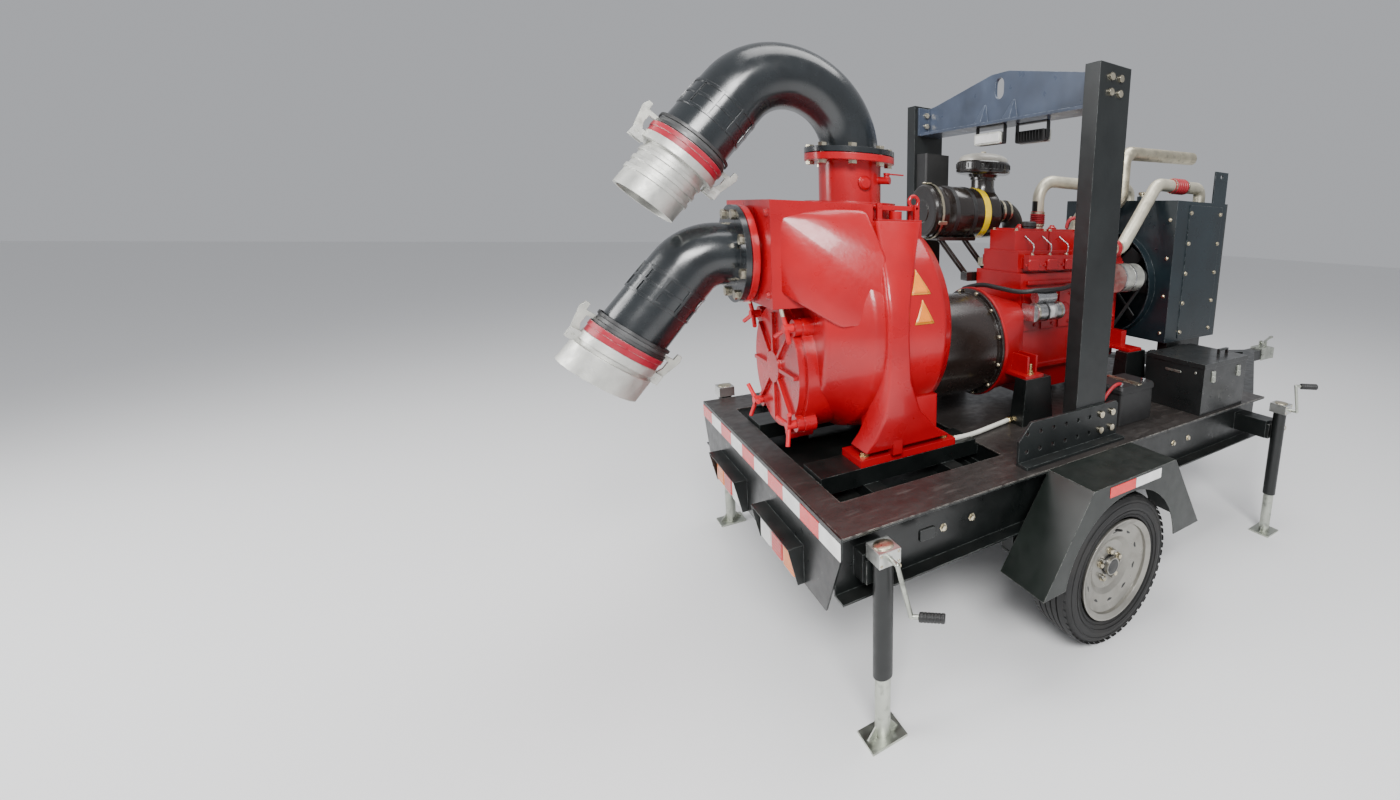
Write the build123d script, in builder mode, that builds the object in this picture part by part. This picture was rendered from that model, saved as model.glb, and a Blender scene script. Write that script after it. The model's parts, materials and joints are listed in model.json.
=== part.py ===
"""Engine-driven self-priming trash pump on a two-wheel trailer. Millimetres, +X towards the
tow coupling, +Z up, origin on the ground at the middle of the whole machine."""

import os
from math import cos, degrees, hypot, radians, sin

from build123d import *

os.makedirs("parts", exist_ok=True)

# Clearances
running_gap = 0.05  # radial, shaft in bore
slack = 0.3  # between pieces that pass each other
joint_gap = 1.0  # between a moving piece and its frame

# Trailer
deck_length = 2500
deck_width = 1484
deck_top = 675
plate = 5
rail_depth = 210
rail_flange = 60
wall = 6
drawbar_reach = 1700
rear_overhang = 580
rear_x = (rear_overhang - deck_length - drawbar_reach) / 2
front_x = rear_x + deck_length
half_deck = deck_width / 2
steel_top = deck_top - plate
panel_thickness = 6
deck_start = rear_x + panel_thickness
side_strip = 200
pit_start = 95
pit_end = 775

# Wheels
axle_x = rear_x + 1035
tyre_radius = 294
tyre_width = 185
rim_radius = 198
track = 1700
spindle_radius = 22
hub_radius = 70
fender_outer = 958
fender_sheet = 4

# Lifting frame
post_x = rear_x + 1159
post_length = 177
post_width = 72
post_outer = 648
post_top = 2143
post_wall = 6
beam_bottom = 1995
beam_peak = 2222
beam_web = 14
lug_hole_height = 92
lug_hole_width = 60

# Jacks
jack_tube = 30  # outer radius
jack_wall = 4
leg_radius = 24
pivot_height = 560
pivot_radius = 18
jack_reach_rear = 43  # tube centre outside the deck's side
jack_reach_front = 151
rear_jack_x = rear_x + 112
front_jack_x = rear_x + 2350
crank_radius = 7
crank_arm = 175
crank_grip = 95

# Pump
shaft_z = 1000
shaft_radius = 30
barrel_z = 1150
barrel_radius = 425
barrel_front = rear_x + 640
casing_wall = 16
cover_x = rear_x + 95
cover_radius = 228
cover_thickness = 26
suction_z = 1424
suction_x = rear_x - 28
discharge_x = rear_x + 407
discharge_z = 1792
flange_radius = 170
flange_thickness = 24
bolt_circle = 147.5
bolt_count = 8
bolt_radius = 10
pipe_radius = 108
pipe_wall = 8
hose_slope = radians(51)
bed_top = 690
foot_outer = 385
foot_inner = 235
impeller_radius = 150

# Engine
bell_x = rear_x + 1030
bell_radius = 252
drum_radius = 232
engine_rear = rear_x + 1190
engine_front = rear_x + 1900
block_half = 165
sump_bottom = 740
crank_z = shaft_z
head_bottom = 1330
head_top = 1535
fan_z = 1240
fan_x = engine_front + 95
fan_radius = 270
radiator_rear = rear_x + 2085
radiator_front = rear_x + 2555
radiator_half = 380
radiator_bottom = 950
radiator_top = 1700
cleaner_x = rear_x + 940
cleaner_y = 300
cleaner_z = 1602
cleaner_radius = 128
cleaner_length = 420
intake_radius = 56
exhaust_radius = 36
charge_radius = 33
charge_y = -250

# Toolbox
toolbox_x = rear_x + 1880
toolbox_length = 400
toolbox_inner = 400
toolbox_outer = 725
toolbox_top = 930
sheet = 3

# Engine mounts
member_depth = 100
mount_y = 322
rear_mount_x = rear_x + 1145
rear_mount_z = 885
front_mount_x = rear_x + 1850
front_mount_z = 925


def save(builder, label):
    builder.part.label = label
    export_step(builder.part, f"parts/{label}.step")


def block(x, y, z, mode=Mode.ADD):
    """A box from its three (low, high) spans."""
    with Locations(((x[0] + x[1]) / 2, (y[0] + y[1]) / 2, (z[0] + z[1]) / 2)):
        Box(x[1] - x[0], y[1] - y[0], z[1] - z[0], mode=mode)


def rod(start, along, length, radius, mode=Mode.ADD):
    """A round bar from start, along a direction."""
    with Locations(Plane(origin=start, z_dir=along)):
        Cylinder(radius, length, align=(Align.CENTER, Align.CENTER, Align.MIN), mode=mode)


def ring(start, along, length, outer, inner):
    """A tube or washer, added with its bore open."""
    rod(start, along, length, outer)
    rod(start, along, length, inner, Mode.SUBTRACT)


def bar_between(start, end, radius, mode=Mode.ADD):
    """A round bar from one point to another."""
    run = Vector(*end) - Vector(*start)
    rod(start, run, run.length, radius, mode)


def across(side, near, far):
    """The (low, high) Y span between two distances from the middle, on one side."""
    return sorted((side * near, side * far))


def on_circle(centre, along, radius, count, start=0.0):
    """Points spaced evenly round a circle about a direction."""
    face = Plane(origin=centre, z_dir=along)
    turns = [radians(start + 360 * n / count) for n in range(count)]
    return [face.from_local_coords((radius * cos(t), radius * sin(t), 0)) for t in turns]


# ---------------------------------------------------------------- Trailer frame
with BuildPart() as deck_frame:
    inner = half_deck - rail_flange
    for side in (-1, 1):
        rail_span = (steel_top - rail_depth, steel_top)
        block((deck_start, front_x), across(side, inner, inner + wall), rail_span)
        for z in (steel_top - wall, steel_top - rail_depth):
            block((deck_start, front_x), across(side, inner, half_deck), (z, z + wall))
    members = (40, pit_end + 5, 1015, 1375, 1900, deck_length - 60)
    for station in members:
        x = rear_x + station
        block((x, x + 50), (-inner, inner), (steel_top - member_depth, steel_top))
    for side in (-1, 1):
        for x in (rear_x + 260, rear_x + 600):
            outrigger = across(side, foot_inner + 15, inner)
            block((x, x + 60), outrigger, (steel_top - member_depth, steel_top - 45))
        for x, reach in ((rear_jack_x, jack_reach_rear), (front_jack_x, jack_reach_front)):
            face = half_deck + reach - jack_tube - 11
            seat = (pivot_height - 45, pivot_height + 45)
            block((x - 45, x + 45), across(side, inner + wall, face), seat)
            socket = (x, side * (face + 1), pivot_height)
            rod(socket, (0, -side, 0), 70, pivot_radius + running_gap, Mode.SUBTRACT)
        bed = across(side, foot_inner, foot_outer)
        block((rear_x + 90, rear_x + pit_end + 5), bed, (steel_top - 45, steel_top))
        block((rear_x + pit_start + 5, rear_x + pit_end - 5), bed, (steel_top, bed_top))
        for x, top in ((rear_mount_x, rear_mount_z), (front_mount_x, front_mount_z)):
            centre = (x, side * mount_y)
            with BuildSketch(Plane.XY.offset(deck_top)):
                with Locations(centre):
                    Rectangle(190, 88)
            with BuildSketch(Plane.XY.offset(top)):
                with Locations(centre):
                    Rectangle(150, 72)
            loft()
        stand = across(side, radiator_half - 70, radiator_half - 10)
        block((radiator_rear + 20, radiator_front - 130), stand, (deck_top, radiator_bottom))
save(deck_frame, "deck_frame")

with BuildPart() as deck_plate:
    block((deck_start, front_x), (-half_deck, half_deck), (steel_top, deck_top))
    pit_half = half_deck - side_strip
    pit = (rear_x + pit_start, rear_x + pit_end)
    block(pit, (-pit_half, pit_half), (steel_top, deck_top), Mode.SUBTRACT)
save(deck_plate, "deck_plate")

tape_band = 63
panel_drop = 290
panel_taper = 108
hood_top = 522
hood_bottom = 387
hood_depth = 52
hood_lip = 22
hood_length = 364
hood_centre = 287
lens_length = 110
lens_inset = 5


def hood_edge(z):
    """X of the hood's slanted front edge at a height."""
    rise = (z - hood_bottom) / (hood_top - hood_bottom)
    return rear_x - hood_lip - (hood_depth - hood_lip) * rise


with BuildPart() as rear_panel:
    with BuildSketch(Plane.YZ.offset(rear_x)):
        Polygon(
            (-half_deck, deck_top),
            (half_deck, deck_top),
            (half_deck, deck_top - tape_band),
            (half_deck - panel_taper, deck_top - panel_drop),
            (panel_taper - half_deck, deck_top - panel_drop),
            (-half_deck, deck_top - tape_band),
            align=None,
        )
    extrude(amount=panel_thickness)
    for side in (-1, 1):
        start = side * hood_centre + hood_length / 2
        with BuildSketch(Plane.XZ.offset(-start)):
            Polygon(
                (rear_x - hood_depth, hood_top),
                (rear_x, hood_top),
                (rear_x, hood_bottom),
                (rear_x - hood_lip, hood_bottom),
                align=None,
            )
        extrude(amount=hood_length)
        inside = (start - hood_length + sheet, start - sheet)
        cut = (hood_bottom - 1, hood_top - sheet)
        block((rear_x - hood_depth - 1, rear_x), inside, cut, Mode.SUBTRACT)
save(rear_panel, "rear_panel")

lamp_width = 190
lamp_height = 52
lamp_tops = beam_bottom - 34
with BuildPart() as lamps:
    for side in (-1, 1):
        for n in (-1, 0, 1):
            start = side * hood_centre + n * (lens_length + 2) + lens_length / 2
            high = hood_top - sheet - 4
            low = hood_bottom + 6
            with BuildSketch(Plane.XZ.offset(-start)):
                Polygon(
                    (hood_edge(high) + lens_inset, high),
                    (rear_x, high),
                    (rear_x, low),
                    (hood_edge(low) + lens_inset, low),
                    align=None,
                )
            extrude(amount=lens_length)
    for centre_y, facing in ((22, -1), (-190, 1)):
        face_x = post_x - 55 if facing < 0 else post_x + 5
        half = lamp_width / 2
        body = (centre_y - half, centre_y + half)
        block((face_x, face_x + 50), body, (lamp_tops - lamp_height, lamp_tops))
        inset = (face_x, face_x + 6) if facing < 0 else (face_x + 44, face_x + 50)
        glass = (centre_y - half + 8, centre_y + half - 8)
        block(inset, glass, (lamp_tops - lamp_height + 8, lamp_tops - 8), Mode.SUBTRACT)
        arm_x = (face_x + 15, face_x + 35)
        for end in (-1, 1):
            arm = sorted((centre_y + end * half, centre_y + end * (half + 3)))
            block(arm_x, arm, (lamp_tops - 36, beam_bottom - 3))
        block(arm_x, (centre_y - half - 3, centre_y + half + 3), (beam_bottom - 3, beam_bottom))
save(lamps, "lamps")

drawbar_side = 80
head_x = front_x + drawbar_reach - 250
drawbar_root = half_deck - rail_flange - drawbar_side / 2
drawbar_mid = 590
with BuildPart() as drawbar:
    run = hypot(head_x - 120 - front_x, drawbar_root)
    for side in (-1, 1):
        slope = Vector(head_x - 120 - front_x, -side * drawbar_root, 0)
        root = (front_x, side * drawbar_root, drawbar_mid)
        with Locations(Plane(origin=root, z_dir=slope, x_dir=(0, 0, 1))):
            Box(drawbar_side, drawbar_side, run, align=(Align.CENTER, Align.CENTER, Align.MIN))
    block((head_x - 200, head_x + 60), (-40, 40), (drawbar_mid - 40, drawbar_mid + 40))
    block((front_x - 200, front_x), (-deck_width, deck_width), (0, deck_top), Mode.SUBTRACT)
    for x in (head_x + 10, head_x + 45):
        rod((x, -60, drawbar_mid), (0, 1, 0), 120, 6.5, Mode.SUBTRACT)
save(drawbar, "drawbar")

ball_radius = 25
with BuildPart() as tow_coupling:
    block((head_x + 2, head_x + 150), (-46, 46), (drawbar_mid - 46, drawbar_mid + 52))
    block((head_x + 1, head_x + 61), (-40, 40), (drawbar_mid - 47, drawbar_mid + 40), Mode.SUBTRACT)
    rod((head_x + 205, 0, drawbar_mid - 50), (0, 0, 1), 82, 45)
    block((head_x + 130, head_x + 205), (-40, 40), (drawbar_mid - 46, drawbar_mid + 30))
    with Locations((head_x + 205, 0, drawbar_mid - 22)):
        Sphere(ball_radius + 0.25, mode=Mode.SUBTRACT)
    rod((head_x + 205, 0, drawbar_mid - 60), (0, 0, 1), 40, ball_radius + 0.25, Mode.SUBTRACT)
    for x in (head_x + 10, head_x + 45):
        rod((x, -60, drawbar_mid), (0, 1, 0), 120, 6.5, Mode.SUBTRACT)
    for side in (-1, 1):
        ear = (drawbar_mid + 52, drawbar_mid + 92)
        block((head_x + 85, head_x + 125), across(side, 14, 24), ear)
    rod((head_x + 105, -30, drawbar_mid + 76), (0, 1, 0), 60, 6 + running_gap, Mode.SUBTRACT)
save(tow_coupling, "tow_coupling")

with BuildPart() as coupling_lever:
    rod((head_x + 105, -28, drawbar_mid + 76), (0, 1, 0), 56, 6)
    rod((head_x + 105, -12, drawbar_mid + 76), (0, 1, 0), 24, 13)
    bar_between((head_x + 110, 0, drawbar_mid + 80), (head_x + 215, 0, drawbar_mid + 112), 9)
    bar_between((head_x + 215, 0, drawbar_mid + 112), (head_x + 250, 0, drawbar_mid + 112), 11)
save(coupling_lever, "coupling_lever")

# ---------------------------------------------------------------- Axle and wheels
hub_face = track / 2 - 70
spring_y = half_deck - rail_flange - 45
leaf_count = 5
leaf = 9
with BuildPart() as axle:
    beam = (tyre_radius - 30, tyre_radius + 30)
    block((axle_x - 30, axle_x + 30), (24 - hub_face, hub_face - 24), beam)
    for side in (-1, 1):
        stub = (axle_x, side * (hub_face - 24), tyre_radius)
        rod(stub, (0, side, 0), 120, spindle_radius)
        spring = across(side, spring_y - 30, spring_y + 30)
        for n in range(leaf_count):
            reach = 300 - 45 * n
            low = beam[1] + leaf * n
            block((axle_x - reach, axle_x + reach), spring, (low, low + leaf))
        for x in (axle_x - 285, axle_x + 285):
            block((x - 12, x + 12), spring, (beam[1] + leaf, steel_top - rail_depth))
        top = beam[1] + leaf_count * leaf
        saddle = across(side, spring_y - 40, spring_y + 40)
        block((axle_x - 45, axle_x + 45), saddle, (top, top + 12))
        for x in (axle_x - 37, axle_x + 37):
            for y in (spring_y - 35, spring_y + 35):
                rod((x, side * y, tyre_radius - 38), (0, 0, 1), 140, 5)
save(axle, "axle")

rim_seat = tyre_width / 2 - 12
for side, name in ((-1, "right"), (1, "left")):
    wheel_y = side * track / 2
    with BuildPart() as rim:
        with BuildSketch(Plane.XY):
            with BuildLine():
                half = rim_seat
                Polyline(
                    (rim_radius, -half - 8),
                    (rim_radius, -half),
                    (rim_radius - 16, -half + 6),
                    (rim_radius - 20, half - 60),
                    (rim_radius - 38, half - 52),
                    (rim_radius - 38, half - 22),
                    (rim_radius - 18, half - 14),
                    (rim_radius - 14, half - 2),
                    (rim_radius, half),
                    (rim_radius, half + 8),
                    (rim_radius - 6, half + 8),
                    (rim_radius - 22, half),
                    (rim_radius - 24, half - 12),
                    (rim_radius - 44, half - 20),
                    (115, half - 30),
                    (95, half - 42),
                    (40, half - 42),
                    (40, half - 48),
                    (98, half - 48),
                    (118, half - 36),
                    (rim_radius - 44, half - 26),
                    (rim_radius - 44, half - 54),
                    (rim_radius - 26, half - 64),
                    (rim_radius - 22, -half + 2),
                    (rim_radius - 6, -half - 8),
                    close=True,
                )
            make_face()
        revolve(axis=Axis.Y)
    stud_face = wheel_y + side * (rim_seat - 42)
    back = wheel_y + side * (rim_seat - 48 - slack)
    with BuildPart() as placed:
        with Locations(Location((axle_x, wheel_y, tyre_radius), (0 if side > 0 else 180, 0, 0))):
            add(rim.part)
        for p in on_circle((axle_x, stud_face, tyre_radius), (0, side, 0), 56, 5, 90):
            rod(p, (0, -side, 0), 20, 7, Mode.SUBTRACT)
        rod((axle_x, back, tyre_radius), (0, -side, 0), 14, hub_radius)
        rod((axle_x, back - side * 14, tyre_radius), (0, -side, 0), 46, 42)
        rod((axle_x, back + side * 30, tyre_radius), (0, -side, 0), 30, 34)
        inner_end = (axle_x, back - side * 70, tyre_radius)
        rod(inner_end, (0, side, 0), 88, spindle_radius + running_gap, Mode.SUBTRACT)
        for p in on_circle((axle_x, back, tyre_radius), (0, side, 0), 56, 5, 90):
            rod(p, (0, side, 0), 22, 6.5)
    save(placed, f"rim_{name}")
    with BuildPart() as tyre:
        with BuildSketch(Plane.XY):
            with BuildLine():
                w = tyre_width / 2
                bead = rim_radius + slack
                Polyline(
                    (bead, -rim_seat + 8),
                    (bead + 8, -rim_seat - 2),
                    (bead + 45, -w),
                    (tyre_radius - 22, -w + 4),
                    (tyre_radius - 4, -w + 20),
                    (tyre_radius, -w + 45),
                    (tyre_radius, w - 45),
                    (tyre_radius - 4, w - 20),
                    (tyre_radius - 22, w - 4),
                    (bead + 45, w),
                    (bead + 8, rim_seat + 2),
                    (bead, rim_seat - 8),
                    (bead + 12, rim_seat - 14),
                    (tyre_radius - 26, w - 24),
                    (tyre_radius - 14, w - 45),
                    (tyre_radius - 14, -w + 45),
                    (tyre_radius - 26, -w + 24),
                    (bead + 12, -rim_seat + 14),
                    close=True,
                )
            make_face()
        revolve(axis=Axis.Y)
        for groove in (-45, -15, 15, 45):
            with BuildSketch(Plane.XY):
                with Locations((tyre_radius, groove)):
                    Rectangle(14, 7)
            revolve(axis=Axis.Y, mode=Mode.SUBTRACT)
    with BuildPart() as placed:
        with Locations((axle_x, wheel_y, tyre_radius)):
            add(tyre.part)
    save(placed, f"tyre_{name}")

fender_half_top = 243
fender_half_foot = 462
fender_foot = 345
fender_centre = axle_x + 38
arch_radius = 322
with BuildPart() as fenders:
    for side in (-1, 1):
        outer = (
            (fender_centre - fender_half_foot, fender_foot),
            (fender_centre - fender_half_top, deck_top),
            (fender_centre + fender_half_top, deck_top),
            (fender_centre + fender_half_foot, fender_foot),
        )
        shrink = fender_sheet
        start = max(side * (half_deck + joint_gap), side * fender_outer)
        with BuildSketch(Plane.XZ.offset(-start)):
            Polygon(*outer, align=None)
        extrude(amount=fender_outer - half_deck - joint_gap)
        with BuildSketch(Plane.XZ.offset(-start - (fender_sheet if side < 0 else -fender_sheet))):
            Polygon(
                (fender_centre - fender_half_foot + 4 * shrink, fender_foot - 30),
                (fender_centre - fender_half_top + 0.6 * shrink, deck_top - shrink),
                (fender_centre + fender_half_top - 0.6 * shrink, deck_top - shrink),
                (fender_centre + fender_half_foot - 4 * shrink, fender_foot - 30),
                align=None,
            )
        extrude(amount=fender_outer - half_deck - joint_gap, mode=Mode.SUBTRACT)
        rod((axle_x, side * (half_deck - 5), tyre_radius), (0, side, 0), 400, arch_radius, Mode.SUBTRACT)
save(fenders, "fenders")

# ---------------------------------------------------------------- Lifting frame
post_inner = post_outer - post_width
bracket_length = 570
bracket_start = post_x + post_length / 2 + 75 - bracket_length
bracket_height = 160
bracket_thickness = 12
bolt_head = 10
hole_step = 70
hole_rise = 68
with BuildPart() as lifting_posts:
    for side in (-1, 1):
        ends = (post_x - post_length / 2, post_x + post_length / 2)
        inside = (ends[0] + post_wall, ends[1] - post_wall)
        hollow = across(side, post_inner + post_wall, post_outer - post_wall)
        block(ends, across(side, post_inner, post_outer), (deck_top, post_top))
        block(inside, hollow, (deck_top, post_top - post_wall), Mode.SUBTRACT)
        near = post_outer + slack
        far = near + bracket_thickness
        with BuildSketch(Plane.XZ.offset(-max(side * near, side * far))):
            Polygon(
                (bracket_start, deck_top),
                (bracket_start, deck_top + bracket_height - 65),
                (bracket_start + 60, deck_top + bracket_height),
                (bracket_start + bracket_length - 15, deck_top + bracket_height),
                (bracket_start + bracket_length, deck_top + bracket_height - 15),
                (bracket_start + bracket_length, deck_top),
                align=None,
            )
            with Locations((bracket_start + bracket_length / 2, deck_top + 84)):
                with GridLocations(hole_step, hole_rise, 8, 2):
                    Circle(9, mode=Mode.SUBTRACT)
        extrude(amount=bracket_thickness)
        foot = across(side, far, post_outer + 60)
        foot_span = (bracket_start, bracket_start + bracket_length)
        block(foot_span, foot, (deck_top, deck_top + bracket_thickness))
save(lifting_posts, "lifting_posts")

with BuildPart() as lifting_beam:
    with BuildSketch(Plane.YZ.offset(post_x - beam_web / 2)):
        with BuildLine():
            Polyline(
                (-post_inner, beam_bottom),
                (-post_inner, post_top - 10),
                (-post_inner + 70, post_top - 2),
                (-60, beam_peak),
                (60, beam_peak),
                (post_inner - 70, post_top - 2),
                (post_inner, post_top - 10),
                (post_inner, beam_bottom),
                close=True,
            )
        make_face()
        with Locations((0, beam_peak - 66)):
            straight = lug_hole_height - lug_hole_width
            SlotCenterToCenter(straight, lug_hole_width, rotation=90, mode=Mode.SUBTRACT)
    extrude(amount=beam_web)
    block((post_x - 60, post_x + 60), (-post_inner, post_inner), (beam_bottom, beam_bottom + 12))
    for side in (-1, 1):
        end_plate = sorted((side * (post_inner - 12), side * post_inner))
        block((post_x - 70, post_x + 70), end_plate, (beam_bottom, post_top - 10))
    for y in (-105, 95):
        with BuildSketch(Plane.XY.offset(beam_bottom + 12)):
            with Locations((post_x - 32, y)):
                Rectangle(52, 50)
        with BuildSketch(Plane.XY.offset(beam_bottom + 100)):
            with Locations((post_x - 9, y)):
                Rectangle(6, 6)
        loft()
save(lifting_beam, "lifting_beam")

with BuildPart() as control_box:
    block((post_x - 75, post_x + 75), (post_inner - 92, post_inner - 2), (1675, 1900))
    block((post_x - 45, post_x + 45), (post_inner - 2, post_inner), (1700, 1875))
    fillet(control_box.edges().filter_by(Axis.Z).group_by(Axis.Y)[0], 10)
save(control_box, "control_box")

# ---------------------------------------------------------------- Side-wind jacks
jack_bottom = 215
head_height = 46
head_half = 40
leg_top = 400


def jack(name, x, side, reach, head_top, arm_lean, arm_rise):
    """One swivel jack: outer tube with its gear head, inner leg with its foot, and crank."""
    tube_y = side * (half_deck + reach)
    tube_top = head_top - head_height
    plate_face = side * (half_deck + reach - jack_tube - 10)
    with BuildPart() as tube:
        rod((x, tube_y, jack_bottom), (0, 0, 1), tube_top - jack_bottom, jack_tube)
        bore = jack_tube - jack_wall
        rod((x, tube_y, jack_bottom), (0, 0, 1), tube_top - jack_bottom, bore, Mode.SUBTRACT)
        ring((x, tube_y, jack_bottom), (0, 0, 1), 30, bore, leg_radius + running_gap)
        block((x - 35, x + 35), (tube_y - head_half, tube_y + head_half), (tube_top, head_top))
        mount = sorted((plate_face, tube_y - side * bore))
        block((x - 40, x + 40), mount, (pivot_height - 45, pivot_height + 30))
        collar = jack_bottom + 30
        rod((x, tube_y, collar), (0, 0, 1), tube_top - collar, bore, Mode.SUBTRACT)
        rod((x, plate_face, pivot_height), (0, -side, 0), 56, pivot_radius)
        shaft_end = tube_y + side * head_half
        mouth = (x, shaft_end + side, tube_top + 22)
        rod(mouth, (0, -side, 0), 30, crank_radius + running_gap, Mode.SUBTRACT)
    save(tube, f"jack_tube_{name}")
    with BuildPart() as leg:
        rod((x, tube_y, 6), (0, 0, 1), leg_top - 6, leg_radius)
        rod((x, tube_y, 40), (0, 0, 1), leg_top, leg_radius - 5, Mode.SUBTRACT)
        block((x - 60, x + 60), (tube_y - 50, tube_y + 50), (0, 8))
        for way in (-1, 1):
            with BuildSketch(Plane.XZ.offset(-tube_y - 3)):
                with BuildLine():
                    Polyline(
                        (x + way * (leg_radius - 2), 7),
                        (x + way * 52, 7),
                        (x + way * (leg_radius - 2), 46),
                        close=True,
                    )
                make_face()
            extrude(amount=6)
    save(leg, f"jack_leg_{name}")
    with BuildPart() as crank:
        arm_y = shaft_end + side * 38
        z = tube_top + 22
        elbow = (x, arm_y, z)
        arm_end = (x + crank_arm * arm_lean, arm_y + side * 12, z + crank_arm * arm_rise)
        grip_end = (arm_end[0] + crank_grip * 0.75, arm_end[1] + side * crank_grip * 0.65, arm_end[2])
        rod((x, shaft_end - side * 28, z), (0, side, 0), 66, crank_radius)
        bar_between(elbow, arm_end, crank_radius)
        bar_between(arm_end, grip_end, crank_radius)
        for corner in (elbow, arm_end):
            with Locations(corner):
                Sphere(crank_radius + 0.5)
        grip_start = Vector(*arm_end) + (Vector(*grip_end) - Vector(*arm_end)) * 0.25
        rod(grip_start, Vector(*grip_end) - grip_start, crank_grip * 0.78, 12)
    save(crank, f"jack_crank_{name}")


hang = (0.23, -0.97)
raised = (-0.5, 0.86)
jack("rear_right", rear_jack_x, -1, jack_reach_rear, 642, *hang)
jack("rear_left", rear_jack_x, 1, jack_reach_rear, 725, *hang)
jack("front_right", front_jack_x, -1, jack_reach_front, 705, *raised)
jack("front_left", front_jack_x, 1, jack_reach_front, 705, *raised)

# ---------------------------------------------------------------- Pump
neck_radius = 118
seal_bore = 165
impeller_rear = rear_x + 490
volute_radius = impeller_radius + 35
seat_radius = cover_radius + 18
nut_circle = 250
drain_y = -119
drain_z = 774
fill_x = rear_x + 490
fill_y = -205
fill_seat = 1560
clamp_z = fill_seat + 42
clamp_half = 80
valve_x = rear_x + 504
valve_y = -114
valve_top = 1723


def casing_profile(shrink):
    """Half outline of the barrel, round the barrel's own centre line."""
    radius = barrel_radius - shrink
    return (
        (rear_x + 160 + shrink, 0),
        (rear_x + 160 + shrink, 0.72 * radius),
        (rear_x + 300, 0.96 * radius),
        (rear_x + 390, radius),
        (barrel_front - 60, 0.985 * radius),
        (barrel_front - shrink, 0.9 * radius),
        (barrel_front - shrink, 0),
    )


barrel_axis = Axis((0, 0, barrel_z), (1, 0, 0))
with BuildPart() as pump_casing:
    with BuildSketch(Plane.XZ):
        with BuildLine():
            Polyline(*[(x, barrel_z + r) for x, r in casing_profile(0)], close=True)
        face = make_face()
        fillet([v for v in face.vertices() if v.Y > barrel_z + 1], 34)
    revolve(axis=barrel_axis)
    block((rear_x + 8, rear_x + 380), (-235, 235), (1255, 1612))
    rod((discharge_x, 0, 1540), (0, 0, 1), 80, 175)
    rod((cover_x + cover_thickness, 0, shaft_z), (1, 0, 0), 180, seat_radius)
    for p in on_circle((cover_x + cover_thickness, 0, shaft_z), (1, 0, 0), nut_circle, 4, 45):
        rod(p, (1, 0, 0), 45, 34)
    rod((rear_x + 88, drain_y, drain_z), (1, 0, 0), 90, 24)
    rod((discharge_x, 0, 1600), (0, 0, 1), discharge_z - 1600, neck_radius)
    rod((discharge_x, 0, discharge_z - flange_thickness), (0, 0, 1), flange_thickness, flange_radius)
    rod((suction_x, 0, suction_z), (1, 0, 0), 60, neck_radius + 8)
    rod((suction_x, 0, suction_z), (1, 0, 0), flange_thickness, flange_radius)
    for side in (-1, 1):
        rib = across(side, barrel_radius - 60, barrel_radius - 20)
        foot = across(side, foot_inner, foot_outer)
        leg = across(side, foot_inner + 20, foot_outer - 40)
        block((rear_x + 250, rear_x + 665), foot, (bed_top, bed_top + 28))
        block((rear_x + 320, rear_x + 600), leg, (bed_top, 900))
        block((rear_x + 370, rear_x + 410), rib, (bed_top + 28, barrel_z + 60))
    block((fill_x - 95, fill_x + 95), (fill_y - 35, fill_y + 35), (1480, fill_seat))
    with BuildSketch(Plane.XZ):
        with BuildLine():
            Polyline(*[(x, barrel_z + r) for x, r in casing_profile(casing_wall)], close=True)
        make_face()
    revolve(axis=barrel_axis, mode=Mode.SUBTRACT)
    chamber = (rear_x + 8 + casing_wall, rear_x + 380)
    chamber_z = (1255 + casing_wall, 1612 - casing_wall)
    block(chamber, (casing_wall - 235, 235 - casing_wall), chamber_z, Mode.SUBTRACT)
    rod((discharge_x, 0, 1500), (0, 0, 1), 400, pipe_radius - pipe_wall, Mode.SUBTRACT)
    rod((suction_x - 1, 0, suction_z), (1, 0, 0), 100, pipe_radius - pipe_wall, Mode.SUBTRACT)
    rod((cover_x, 0, shaft_z), (1, 0, 0), 180, cover_radius - 25, Mode.SUBTRACT)
    volute = (impeller_rear - 60, 0, shaft_z)
    ring(volute, (1, 0, 0), barrel_front - volute[0] - 10, volute_radius + 14, volute_radius)
    rod((barrel_front - 40, 0, shaft_z), (1, 0, 0), 60, seal_bore, Mode.SUBTRACT)
    for side in (-1, 1):
        for x in (rear_x + 285, rear_x + 630):
            rod((x, side * (foot_outer - 40), bed_top - 1), (0, 0, 1), 40, 11, Mode.SUBTRACT)
    flange_low = (discharge_x, 0, discharge_z - flange_thickness - 1)
    for p in on_circle(flange_low, (0, 0, 1), bolt_circle, bolt_count, 22.5):
        rod(p, (0, 0, 1), flange_thickness + 2, bolt_radius + 1, Mode.SUBTRACT)
    for p in on_circle((suction_x - 1, 0, suction_z), (1, 0, 0), bolt_circle, bolt_count, 22.5):
        rod(p, (1, 0, 0), flange_thickness + 2, bolt_radius + 1, Mode.SUBTRACT)
    for x in (fill_x - clamp_half, fill_x + clamp_half):
        for near in (-26, 12):
            block((x - 10, x + 10), (fill_y + near, fill_y + near + 14), (fill_seat, clamp_z + 14))
        rod((x, fill_y - 30, clamp_z), (0, 1, 0), 60, 5 + running_gap, Mode.SUBTRACT)
    branch = Vector(valve_x - discharge_x, valve_y, 0).normalized()
    rod(Vector(discharge_x, 0, valve_top - 18) + branch * 105, branch, 58, 14)
    rod((valve_x, valve_y, valve_top - 28), (0, 0, 1), 28, 11)
    rod((valve_x, valve_y, valve_top - 20), (0, 0, 1), 21, 5 + running_gap, Mode.SUBTRACT)
    rod((fill_x, fill_y, fill_seat + slack), (0, 0, 1), 30, 24)
save(pump_casing, "pump_casing")

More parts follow.
